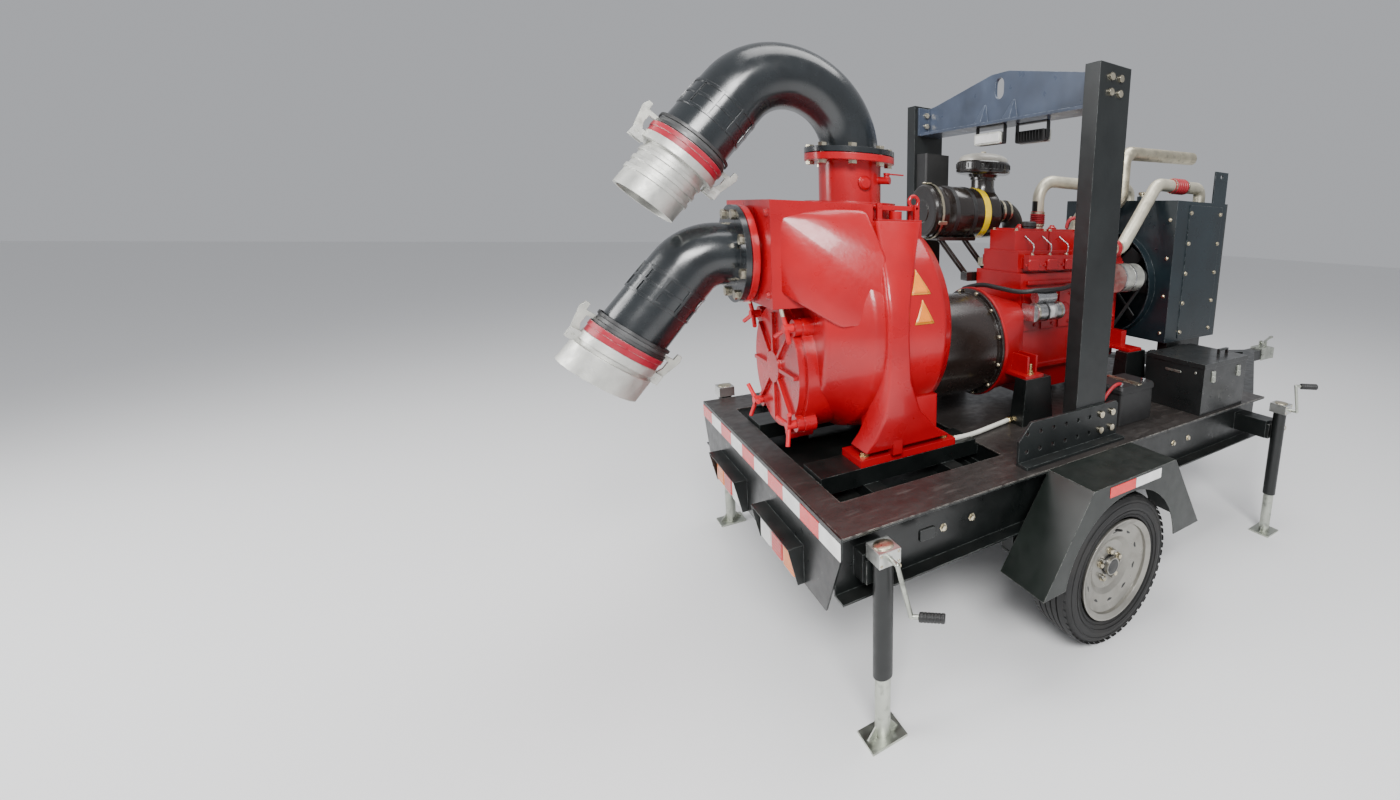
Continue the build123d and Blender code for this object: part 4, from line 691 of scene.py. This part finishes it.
# ---------------------------------------------------------------- Wheels
AXLE = at(1.035, 0, 0.294)
TRACK_HALF = 0.850
RIM_SEAT = 0.0805
RIM_DISH = 0.29
TYRE_RADIUS = 0.2925
TREAD_BLOCKS = 54
for side, label in ((-1, "right"), (1, "left")):
    out = Y * side
    body = f"wheel_{label}"
    hub = AXLE + out * (TRACK_HALF + RIM_SEAT - 0.042)
    cap = [(0, 0.036), (0.008, 0.036), (0.010, 0.033), (0.022, 0.031), (0.026, 0.027), (0.027, 0.012)]
    lathe(f"hub_cap_{label}", hub, out, cap, cast_dark, body, 40)
    places = []
    for n in range(5):
        angle = pi / 2 + 2 * pi * n / 5
        places.append(hub + Vector((0.056 * cos(angle), 0, 0.056 * sin(angle))))
    bolts(f"wheel_nuts_{label}", places, out, 0.0105, 0.016, zinc, body)
    # Thin dark slabs on the rim's disc where its slots are: painted shade that stands in for the holes and
    # the dark inside of the wheel seen through them
    mesh = bmesh.new()
    for n in range(10):
        angle = 2 * pi * (n + 0.5) / 10
        spoke = Vector((cos(angle), 0, sin(angle)))
        tangent = Vector((-sin(angle), 0, cos(angle)))
        centre = AXLE + spoke * 0.134 + out * (TRACK_HALF + RIM_SEAT - 0.0262)
        normal = (out + spoke * RIM_DISH).normalized()
        along = (spoke + out * RIM_DISH).normalized()
        slab_into(mesh, rounded(centre, tangent, along, 0.034, 0.020, 0.0095, 5), normal, 0.0012, 0.0004)
    piece(f"rim_slot_shade_{label}", mesh, black_plastic, body)
    valve = AXLE + Vector((0, 0, 0.150)) + out * (TRACK_HALF + RIM_SEAT - 0.022)
    stem = [(0, 0.005), (0.018, 0.005), (0.019, 0.0042), (0.030, 0.0042)]
    lathe(f"valve_{label}", valve, out + Z * 0.4, stem, black_plastic, body, 16)
    mesh = bmesh.new()
    for row, offset in enumerate((-0.0745, -0.030, 0.0, 0.030, 0.0745)):
        for n in range(TREAD_BLOCKS):
            angle = 2 * pi * (n + 0.5 * (row % 2)) / TREAD_BLOCKS
            radial = Vector((cos(angle), 0, sin(angle)))
            tangent = Vector((-sin(angle), 0, cos(angle)))
            wide = 0.020 if abs(offset) < 0.05 else 0.022
            drop = 0.0 if abs(offset) < 0.05 else 0.0045
            centre = AXLE + out * (TRACK_HALF + offset) + radial * (TYRE_RADIUS - drop)
            slab_into(mesh, rounded(centre, tangent, Y, 0.025, wide, 0.003, 1), radial, 0.0014, 0.0006)
    piece(f"tread_{label}", mesh, finishes["tyre_left"], body)
    for n, radius in enumerate((0.215, 0.232, 0.262)):
        drop = (0.0035, 0.0008, 0.0012)[n]
        face = AXLE + out * (TRACK_HALF + 0.0925 - drop - 0.001)
        line = (0.0016, radius - 0.001), (0.0016, radius + 0.001)
        ring = [(0, radius - 0.002), *line, (0, radius + 0.002)]
        lathe(f"tyre_line_{label}_{n}", face, out, ring, finishes["tyre_left"], body, 72, True)

# ---------------------------------------------------------------- Pump
BARREL_Z = 1.150
BARREL_START = 0.390
BARREL_RADIUS = 0.425
BARREL_TAPER = 0.0337
WARNING_TALL = 0.086
WARNING_HALF = 0.043


def barrel_point(s, z, proud):
    """A point standing proud of the barrel's right side."""
    radius = BARREL_RADIUS - (s - BARREL_START) * BARREL_TAPER + proud
    return at(s, -((radius**2 - (z - BARREL_Z) ** 2) ** 0.5), z)


for label, s, z in (("upper", 0.487, 1.300), ("lower", 0.487, 1.196)):
    for part, shrink, proud, paint in (
        ("base", 1.0, 0.0016, warning_edge),
        ("field", 0.84, 0.0022, warning_orange),
    ):
        mesh = bmesh.new()
        rows = []
        tall = WARNING_TALL * shrink
        bottom = z + 0.010 * (1 - shrink) * 3
        for row in range(9):
            height = bottom + tall * row / 8
            half = max(0.0015, WARNING_HALF * shrink * (1 - row / 8))
            line = [barrel_point(s + half * (k / 4 - 1), height, proud) for k in range(9)]
            rows.append([mesh.verts.new(p) for p in line])
        for a, b in zip(rows, rows[1:]):
            for k in range(8):
                mesh.faces.new((a[k], a[k + 1], b[k + 1], b[k]))
        made = piece(f"warning_{label}_{part}", mesh, paint)
        thick = made.modifiers.new("thick", "SOLIDIFY")
        thick.thickness = 0.0008


# Webs down the casing's sides: height, rear and front edge, and distance from the middle
WEB_SECTIONS = (
    (0.742, 0.268, 0.632, 0.392),
    (0.790, 0.290, 0.560, 0.412),
    (0.880, 0.318, 0.470, 0.434),
    (1.000, 0.330, 0.425, 0.441),
    (1.150, 0.332, 0.415, 0.442),
    (1.250, 0.334, 0.420, 0.434),
    (1.350, 0.340, 0.450, 0.400),
    (1.450, 0.360, 0.510, 0.330),
    (1.553, 0.380, 0.575, 0.256),
)
WEB_EDGE = 0.012
WEB_DEPTH = 0.120
for side, label in ((-1, "right"), (1, "left")):
    mesh = bmesh.new()
    rows = []
    for z, start, end, out in WEB_SECTIONS:
        edge = WEB_EDGE
        corners = (
            (start, out - WEB_DEPTH),
            (start, out - edge),
            (start + edge * 0.3, out - edge * 0.3),
            (start + edge, out),
            (end - edge, out),
            (end - edge * 0.3, out - edge * 0.3),
            (end, out - edge),
            (end, out - WEB_DEPTH),
        )
        rows.append([mesh.verts.new(at(s, side * y, z)) for s, y in corners])
    for a, b in zip(rows, rows[1:]):
        for k in range(len(a)):
            m = (k + 1) % len(a)
            mesh.faces.new((a[k], a[m], b[m], b[k]))
    mesh.faces.new(rows[0])
    mesh.faces.new(rows[-1])
    piece(f"casing_web_{label}", mesh, pump_red, angle=50)

foot_bolts = [at(s, side * 0.345, 0.718) for side in (-1, 1) for s in (0.285, 0.630)]
bolts("foot_bolts", foot_bolts, Z, 0.016, 0.014, yellow_zinc)
plugs = [at(0.008, y, z) for y, z in ((-0.205, 1.30), (0.205, 1.30), (-0.205, 1.57))]
bolts("chamber_plugs", plugs, -X, 0.012, 0.010, pump_red)
neck_plug = at(0.407, -0.117, 1.690)
profile = [(0, 0.026), (0.008, 0.026), (0.010, 0.023), (0.016, 0.018), (0.017, 0.005)]
lathe("neck_plug", neck_plug, -Y, profile, pump_red)
mesh = bmesh.new()
for n in range(12):
    angle = 2 * pi * (n + 0.5) / 12
    place = at(0.640, 0, SHAFT_Z) + Vector((0, 0.186 * cos(angle), 0.186 * sin(angle)))
    lathe_into(mesh, place, X, [(0.016, 0.009), (0.023, 0.009), (0.025, 0.007)], 6)
piece("housing_bolts", mesh, zinc)

# The drum's and the flywheel housing's flange bolts
drum_bolts = []
for n in range(12):
    angle = 2 * pi * (n + 0.5) / 12
    drum_bolts.append(at(1.008, 0.243 * cos(angle), SHAFT_Z + 0.243 * sin(angle)))
bolts("drum_bolts", drum_bolts, -X, 0.008, 0.008, zinc)

# Elbows: moulded straps along each straight run, and two clamps
ELBOW_RADIUS = 0.1082
for label, end, run in (("discharge", discharge_end, 0.215), ("suction", suction_end, 0.255)):
    upward = Vector((-sin(HOSE_DROOP), 0, cos(HOSE_DROOP)))
    for n, turn in enumerate((0.35, 1.0, 1.65, 2.3, -0.35, -1.0, -1.65, -2.3)):
        around = -Y * cos(turn) + upward * sin(turn)
        middle = end - hose_down * (run - 0.090) + around * ELBOW_RADIUS
        tangent = hose_down.cross(around)
        mesh = bmesh.new()
        strap = rounded(middle, hose_down, tangent, 0.100, 0.010, 0.004, 3)
        slab_into(mesh, strap, around, 0.003, 0.001)
        piece(f"strap_{label}_{n}", mesh, elbow_black)
    band = [(0, 0.117), (0, 0.1215), (0.010, 0.1215), (0.010, 0.117)]
    for letter, along in (("a", -0.012), ("b", 0.012)):
        start = end + hose_down * (along + 0.001)
        lathe(f"clamp_{label}_{letter}", start, hose_down, band, cast_dark, steps=64, closed=True)

# ---------------------------------------------------------------- Engine
BLOCK_SIDE = 0.175
BLOCK_START = 1.190
CYLINDER_PITCH = 0.117
HEAD_SIDE = -0.1902
COVER_TOP = 1.535
COVER_PITCH = 0.226
cylinders = [BLOCK_START + 0.062 + CYLINDER_PITCH * n for n in range(6)]
for side, label in ((-1, "right"), (1, "left")):
    mesh = bmesh.new()
    for s in cylinders:
        plug = at(s, side * BLOCK_SIDE, 1.155)
        dish = [(0, 0.030), (0.003, 0.030), (0.004, 0.026), (0.002, 0.024), (0.002, 0.006)]
        lathe_into(mesh, plug, Y * side, dish, 32)
        for z in (1.085, 1.225):
            screw = [(0, 0.009), (0.006, 0.009), (0.007, 0.007)]
            lathe_into(mesh, at(s + 0.030, side * BLOCK_SIDE, z), Y * side, screw, 6)
    piece(f"core_plugs_{label}", mesh, engine_red)
cover_bolts = []
for n in range(3):
    middle = BLOCK_START + 0.018 + n * COVER_PITCH + 0.110
    for dx in (-0.095, 0.095):
        for y in (-0.080, 0.080):
            cover_bolts.append(at(middle + dx, y, 1.525))
    boss = [(0, 0.022), (0.006, 0.022), (0.008, 0.018), (0.016, 0.012), (0.020, 0.011)]
    lathe(f"cover_boss_{n}", at(middle, 0, COVER_TOP), Z, boss, engine_red)
bolts("cover_bolts", cover_bolts, Z, 0.008, 0.010, zinc)
profile = [(0, 0.028), (0.010, 0.028), (0.012, 0.036), (0.030, 0.036), (0.034, 0.030), (0.035, 0.01)]
lathe("oil_cap", at(1.340, -0.040, COVER_TOP), Z, profile, black_plastic)
for n, s in enumerate(cylinders):
    top = at(s + 0.010, -0.150, 1.412)
    rise = top + Vector((0, -0.025, 0.045))
    points = [top, rise, at(s + 0.020, -0.120, 1.480), at(s + 0.015, -0.094, 1.500)]
    wire(f"fuel_line_{n}", points, 0.0035, steel)
    nut = [(0, 0.008), (0.014, 0.008), (0.016, 0.006)]
    lathe(f"fuel_nut_{n}", top + Y * 0.004, -Y + Z * 0.5, nut, zinc, steps=6)
mesh = bmesh.new()
slab_into(mesh, rounded(at(1.665, HEAD_SIDE, 1.395), X, Z, 0.290, 0.026, 0.008), -Y, 0.003, 0.001)
piece("label_strip", mesh, plastic("tan_strip", (0.46, 0.26, 0.11), 0.5))
mesh = bmesh.new()
for n in range(6):
    s = 1.235 + n * 0.122
    slab_into(mesh, rounded(at(s, HEAD_SIDE, 1.372), X, Z, 0.070, 0.052, 0.010), -Y, 0.012, 0.004)
    for dx in (-0.045, 0.045):
        lathe_into(mesh, at(s + dx, -0.190, 1.372), -Y, [(0, 0.008), (0.006, 0.008), (0.007, 0.006)], 6)
piece("manifold_lugs", mesh, engine_red)
points = [
    at(1.62, -0.03, 1.540), at(1.62, -0.03, 1.585), at(1.68, -0.06, 1.600), at(1.76, -0.09, 1.585),
    at(1.80, -0.10, 1.540),
]
wire("breather_hose", points, 0.009, hose_red)
wire(
    "starter_cable",
    [
        at(1.075, 0.12, 1.236), at(1.085, 0.02, 1.272), at(1.110, -0.10, 1.262), at(1.150, -0.20, 1.250),
        at(1.200, -0.246, 1.262), at(1.300, -0.262, 1.262), at(1.420, -0.235, 1.262),
        at(1.520, -0.195, 1.272),
    ],
    0.011,
    black_plastic,
)
# Starter: bands, solenoid studs and a blank label
STARTER_Y = -0.240
STARTER_Z = 1.160
band = [(0, 0.0425), (0, 0.0445), (0.008, 0.0445), (0.008, 0.0425)]
for n, (s, paint) in enumerate(((1.206, zinc), (1.262, cast_dark), (1.350, zinc))):
    lathe(f"starter_band_{n}", at(s, STARTER_Y, STARTER_Z), X, band, paint, closed=True)
mesh = bmesh.new()
for dy, dz in ((-0.012, 0.010), (0.012, 0.010), (0, -0.012)):
    stud = [(0, 0.007), (0.004, 0.007), (0.004, 0.004), (0.014, 0.004)]
    lathe_into(mesh, at(1.330, STARTER_Y + dy, 1.228 + dz), X, stud, 12)
piece("solenoid_studs", mesh, yellow_zinc)
mesh = bmesh.new()
rows = []
for k in range(9):
    angle = -0.75 + 1.5 * k / 8
    radial = Vector((0, -cos(angle), sin(angle)))
    rows.append([mesh.verts.new(at(s, STARTER_Y, STARTER_Z) + radial * 0.0434) for s in (1.278, 1.322)])
for a, b in zip(rows, rows[1:]):
    mesh.faces.new((a[0], a[1], b[1], b[0]))
label_piece = piece("starter_label", mesh, tape_white)
label_piece.modifiers.new("thick", "SOLIDIFY").thickness = 0.0006
# Mount studs and nuts
stud = [
    (0, 0.018), (0.003, 0.018), (0.003, 0.012), (0.016, 0.012), (0.016, 0.007), (0.044, 0.007),
    (0.046, 0.005),
]
for n, side in enumerate((-1, 1)):
    lathe(f"mount_stud_{n}", at(1.125, side * 0.322, 0.900), Z, stud, yellow_zinc, steps=24)
# Alternator bands
for n, dx in enumerate((-0.150, -0.075)):
    centre = at(1.90 + dx, -0.262, 1.300)
    band = [(0, 0.0715), (0, 0.0745), (0.010, 0.0745), (0.010, 0.0715)]
    lathe(f"alternator_band_{n}", centre, X, band, steel, closed=True)

# ---------------------------------------------------------------- Air intake
CLEANER = at(0.940, 0.300, 1.602)
BOWL = at(1.318, 0.300, 0)
mesh = bmesh.new()
barrel = [
    (0, 0.010), (0, 0.052), (0.004, 0.056), (0.004, 0.100), (0.002, 0.112), (0.004, 0.120), (0.014, 0.128),
    (0.034, 0.128), (0.034, 0.133), (0.044, 0.133), (0.044, 0.128), (0.076, 0.128), (0.079, 0.1265),
    (0.083, 0.1265), (0.086, 0.128), (0.340, 0.128), (0.343, 0.1265), (0.347, 0.1265), (0.350, 0.128),
    (0.406, 0.128), (0.416, 0.122), (0.419, 0.112), (0.419, 0.010),
]
lathe_into(mesh, CLEANER, X, barrel, steps=72)
neck = [
    (1.700, 0.072), (1.728, 0.064), (1.740, 0.061), (1.770, 0.061), (1.772, 0.066), (1.784, 0.066),
    (1.786, 0.072), (1.800, 0.080), (1.808, 0.100),
]
lathe_into(mesh, BOWL, Z, neck, steps=56)
bowl = [
    (1.802, 0.070), (1.802, 0.128), (1.807, 0.136), (1.812, 0.139), (1.848, 0.139), (1.856, 0.137),
    (1.862, 0.131), (1.862, 0.060),
]
lathe_into(mesh, BOWL, Z, bowl, steps=72)
saddle = CLEANER + X * 0.180 - Z * 0.133
slab_into(mesh, rounded(saddle + Z * 0.012, X, Y, 0.240, 0.116, 0.008), -Z, 0.018, 0.003)
for along in (0.100, 0.250):
    top = CLEANER + Vector((along, -0.020, -0.134))
    foot = Vector((CLEANER.x + along + 0.130, 0.225, 1.290))
    run = foot - top
    strut = [(0, 0.004), (0, 0.015), (run.length, 0.015), (run.length, 0.004)]
    lathe_into(mesh, top, run.normalized(), strut, steps=20)
bracket = Vector((CLEANER.x + 0.310, 0.184, 1.286))
slab_into(mesh, rounded(bracket, X, Z, 0.218, 0.046, 0.006), Y, 0.055, 0.003)
air_filter = piece("air_filter", mesh, cleaner_black, angle=30)
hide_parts("air_cleaner")
for name, s, width, radius, paint in (
    ("cleaner_band", 0.300, 0.040, 0.1290, band_yellow),
    ("cleaner_rim", 0.034, 0.012, 0.1345, zinc),
    ("cleaner_strap_a", 0.120, 0.022, 0.1300, cast_dark),
    ("cleaner_strap_b", 0.230, 0.022, 0.1300, cast_dark),
):
    band = [(0, 0.1276), (0, radius), (width, radius), (width, 0.1276)]
    lathe(name, CLEANER + X * s, X, band, paint, steps=64, closed=True)
for n in range(3):
    angle = 2 * pi * n / 3 - 0.4
    radial = Vector((0, -cos(angle), sin(angle)))
    mesh = bmesh.new()
    centre = CLEANER + X * 0.040 + radial * 0.1345
    clip = rounded(centre, X, X.cross(radial), 0.050, 0.018, 0.004, 3)
    slab_into(mesh, clip, radial, 0.006, 0.002)
    piece(f"cleaner_clip_{n}", mesh, zinc)
INTAKE = at(0, 0.232, 1.616)
for n, s in enumerate((1.372, 1.416)):
    band = [(0, 0.0555), (0, 0.0590), (0.012, 0.0590), (0.012, 0.0555)]
    lathe(f"intake_clamp_{n}", INTAKE + X * s, X, band, zinc, closed=True)
rim = [(0, 0.130), (0, 0.139), (0.008, 0.141), (0.014, 0.141), (0.016, 0.139), (0.016, 0.130)]
lathe("bowl_rim", BOWL + Z * 1.807, Z, rim, cleaner_black, steps=72, closed=True)
mesh = bmesh.new()
for n in range(40):
    angle = 2 * pi * n / 40
    radial = Vector((cos(angle), sin(angle), 0))
    tangent = Vector((-sin(angle), cos(angle), 0))
    centre = BOWL + Z * 1.838 + radial * 0.1385
    slab_into(mesh, rounded(centre, tangent, Z, 0.006, 0.024, 0.002, 2), radial, 0.003, 0.001)
piece("bowl_ribs", mesh, black_plastic)
dome = [
    (0, 0.127), (0.012, 0.127), (0.022, 0.121), (0.033, 0.102), (0.041, 0.070), (0.045, 0.036),
    (0.046, 0.008),
]
lathe("bowl_dome", BOWL + Z * 1.862, Z, dome, plastic("dome_pale", (0.50, 0.48, 0.42), 0.35, 0.3), steps=72)
lathe("bowl_nut", BOWL + Z * 1.905, Z, [(0, 0.014), (0.010, 0.014), (0.012, 0.010)], zinc, steps=6)


def sleeve(name, start, axis, length, inner, paint):
    """A ribbed rubber sleeve over a pipe, with a bright clamp at each end."""
    ribs = 5
    profile = [(0, inner), (0, inner + 0.004), (0.014, inner + 0.004)]
    pitch = (length - 0.028) / ribs
    for n in range(ribs):
        foot = 0.014 + n * pitch
        crest = inner + 0.009
        profile += [(foot + pitch * 0.25, crest), (foot + pitch * 0.7, crest), (foot + pitch, inner + 0.004)]
    profile += [(length, inner + 0.004), (length, inner)]
    lathe(name, start, axis, profile, paint, closed=True)
    for n, along in enumerate((0.003, length - 0.013)):
        under, over = inner + 0.0035, inner + 0.0062
        band = [(0, under), (0, over), (0.010, over), (0.010, under)]
        lathe(f"{name}_clamp_{n}", start + axis * along, axis, band, zinc, closed=True)


PIPE = 0.033
sleeve("sleeve_right_low", at(1.714, -0.250, 1.450), X, 0.055, PIPE, hose_red)
sleeve("sleeve_right_top", at(2.180, -0.250, 1.782), X, 0.130, PIPE, hose_red)
sleeve("sleeve_left_top", at(2.180, 0.232, 1.792), X, 0.130, PIPE, hose_red)
sleeve("sleeve_left_low", at(1.665, 0.232, 1.545), Z, 0.080, PIPE, hose_red)

# ---------------------------------------------------------------- Radiator
for side, label in ((-1, "right"), (1, "left")):
    places = []
    for n in range(5):
        z = 1.000 + 0.160 * n
        for s in (2.190, 2.480):
            places.append(at(s, side * 0.384, z))
    bolts(f"radiator_bolts_{label}", places, Y * side, 0.009, 0.008, zinc)
    rear_places = [at(2.061, side * 0.345, z) for z in (1.0, 1.2, 1.4, 1.6)]
    bolts(f"shroud_bolts_{label}", rear_places, -X, 0.008, 0.007, zinc)
cap = [(0, 0.030), (0.008, 0.030), (0.010, 0.036), (0.022, 0.036), (0.026, 0.030), (0.027, 0.008)]
lathe("radiator_cap", at(2.305, 0, 1.734), Z, cap, zinc, steps=16)
line = ((1.900, 1.400), (1.960, 1.430), (2.010, 1.600), (2.040, 1.660), (2.064, 1.665))
wire("coolant_hose", [at(s, 0.060, z) for s, z in line], 0.024, belt_rubber)

# ---------------------------------------------------------------- Deck
ends = [
    at(0.660, -0.352, 0.702), at(0.760, -0.340, 0.688), at(0.900, -0.312, 0.687), at(1.048, -0.285, 0.690),
]
wire("deck_pipe", ends, 0.0105, plastic("pipe_white", (0.70, 0.69, 0.62), 0.4, 0.2))
for n, (place, axis) in enumerate(((ends[0], ends[1] - ends[0]), (ends[3], ends[2] - ends[3]))):
    nut = [(0, 0.016), (0.016, 0.016), (0.019, 0.013)]
    lathe(f"deck_pipe_nut_{n}", place, axis, nut, yellow_zinc, steps=6)
battery = at(1.545, -0.515, 0.676)
mesh = bmesh.new()
slab_into(mesh, rounded(battery, X, Y, 0.240, 0.170, 0.012), Z, 0.150, 0.003, 0)
slab_into(mesh, rounded(battery + Z * 0.148, X, Y, 0.248, 0.178, 0.014), Z, 0.030, 0.010, 0)
for dx in (-0.085, 0.085):
    terminal = [(0, 0.012), (0.010, 0.012), (0.014, 0.009)]
    lathe_into(mesh, battery + Vector((dx, -0.050, 0.176)), Z, terminal, 16, 1)
slab_into(mesh, rounded(battery + Vector((0, 0, 0.178)), X, Y, 0.030, 0.190, 0.004, 3), Z, 0.004, 0.001, 2)
piece("battery_box", mesh, [black_plastic, steel, zinc])
lead = (
    (-0.085, -0.050, 0.184), (-0.13, -0.06, 0.200), (-0.20, -0.05, 0.14), (-0.21, -0.02, 0.02),
    (-0.20, 0.08, 0.012), (-0.12, 0.20, 0.012),
)
wire("battery_lead", [battery + Vector(place) for place in lead], 0.008, hose_red)

# Shoulders that run from the upper chamber down to the barrel
SHOULDER = (
    (0.030, 0.200, 1.594),
    (0.030, 0.228, 1.560),
    (0.030, 0.228, 1.310),
    (0.140, 0.268, 1.330),
    (0.200, 0.262, 1.560),
    (0.340, 0.262, 1.590),
    (0.372, 0.352, 1.430),
    (0.360, 0.396, 1.290),
    (0.290, 0.388, 1.200),
    (0.200, 0.345, 1.190),
    (0.110, 0.262, 1.262),
    (0.340, 0.100, 1.590),
    (0.300, 0.150, 1.250),
)
for side, label in ((-1, "right"), (1, "left")):
    mesh = bmesh.new()
    corners = [mesh.verts.new(at(s, side * y, z)) for s, y, z in SHOULDER]
    hull = bmesh.ops.convex_hull(mesh, input=corners)
    bmesh.ops.delete(mesh, geom=hull["geom_interior"], context="VERTS")
    bmesh.ops.dissolve_limit(mesh, angle_limit=radians(4), verts=mesh.verts, edges=mesh.edges)
    made = piece(f"casing_shoulder_{label}", mesh, pump_red, angle=60)
    soft = made.modifiers.new("soft", "BEVEL")
    soft.width = 0.018
    soft.segments = 4
    soft.limit_method = "ANGLE"
    soft.angle_limit = radians(8)

# Drip tray under the pump
mesh = bmesh.new()
tray = at(0.435, 0, 0.574)
slab_into(mesh, rounded(tray, X, Y, 0.670, 1.080, 0.020), Z, 0.003, 0.001)
for across_tray in (-1, 1):
    side_edge = tray + Y * across_tray * 0.537
    slab_into(mesh, rounded(side_edge, X, Y, 0.650, 0.004, 0.0015, 2), Z, 0.030, 0.001)
    end_edge = tray + X * across_tray * 0.332
    slab_into(mesh, rounded(end_edge, X, Y, 0.004, 1.060, 0.0015, 2), Z, 0.030, 0.001)
piece("drip_tray", mesh, chassis_black)

# Toolbox: slot, lock and latches
BOX_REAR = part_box("toolbox")[0]
mesh = bmesh.new()
slab_into(mesh, rounded(Vector((BOX_REAR.x, -0.560, 0.868)), Y, Z, 0.090, 0.012, 0.0058), -X, 0.003, 0.001)
slab_into(mesh, rounded(Vector((BOX_REAR.x, -0.680, 0.880)), Y, Z, 0.012, 0.012, 0.0058), -X, 0.003, 0.001)
piece("toolbox_slot", mesh, galvanised)
for n, s in enumerate((1.960, 2.200)):
    mesh = bmesh.new()
    slab_into(mesh, rounded(at(s, -0.7255, 0.862), X, Z, 0.030, 0.056, 0.005), -Y, 0.006, 0.002)
    slab_into(mesh, rounded(at(s, -0.7315, 0.850), X, Z, 0.020, 0.034, 0.005), -Y, 0.005, 0.002)
    piece(f"toolbox_latch_{n}", mesh, galvanised)

# Rails: bolts and pads along the chassis
for side, label in ((-1, "right"), (1, "left")):
    mesh = bmesh.new()
    for s in (0.354, 0.470, 1.640, 1.760):
        rail_bolt = [(0, 0.014), (0.003, 0.014), (0.003, 0.010), (0.011, 0.010), (0.012, 0.008)]
        lathe_into(mesh, at(s, side * HALF_DECK, 0.600), Y * side, rail_bolt, 6)
    piece(f"rail_bolts_{label}", mesh, zinc)
    mesh = bmesh.new()
    pad = rounded(at(0.290, side * HALF_DECK, 0.600), X, Z, 0.060, 0.040, 0.008)
    slab_into(mesh, pad, Y * side, 0.010, 0.003)
    piece(f"rail_pad_{label}", mesh, chassis_black)

# ---------------------------------------------------------------- Floor, lights, camera
bpy.ops.mesh.primitive_plane_add(size=60, location=(0, 0, 0))
floor = bpy.context.object
floor.name = "floor"
pale = Surface("floor_pale", Look((0.86, 0.86, 0.86), 0.7))
floor.data.materials.append(pale.done(0))

world = bpy.data.worlds.new("studio")
bpy.context.scene.world = world
world.use_nodes = True
world.node_tree.nodes["Background"].inputs["Color"].default_value = (0.93, 0.95, 1.0, 1)
world.node_tree.nodes["Background"].inputs["Strength"].default_value = 0.48


def softbox(name, place, target, size, power):
    light = bpy.data.lights.new(name, "AREA")
    light.shape = "RECTANGLE"
    light.size, light.size_y = size
    light.energy = power
    lamp = bpy.data.objects.new(name, light)
    bpy.context.scene.collection.objects.link(lamp)
    lamp.location = place
    lamp.rotation_mode = "QUATERNION"
    lamp.rotation_quaternion = (Vector(target) - Vector(place)).to_track_quat("-Z", "Y")


softbox("key", (-3.2, -4.5, 4.6), (-0.8, 0, 0.9), (3.0, 1.6), 460)
softbox("rear_fill", (-6.0, 1.5, 3.0), (-1.2, 0, 1.0), (2.5, 2.5), 190)
softbox("top", (0.0, 0.0, 6.0), (0, 0, 0.5), (5.0, 2.5), 190)

EYE = at(-0.646, -2.106, 1.567)
RIGHT = Vector((0.78902, -0.61355, 0.03170))
UP = Vector((0.09211, 0.16914, 0.98128))
AHEAD = Vector((0.60742, 0.77133, -0.18997))
camera = bpy.data.objects.new("camera", bpy.data.cameras.new("camera"))
bpy.context.scene.collection.objects.link(camera)
turned = Matrix((RIGHT, UP, -AHEAD)).transposed().to_4x4()
camera.matrix_world = Matrix.Translation(EYE) @ turned
camera.data.sensor_width = 36
camera.data.lens = 14.80
camera.data.shift_x = -0.191
camera.data.shift_y = -0.049
camera.data.clip_start = 0.05
bpy.context.scene.camera = camera
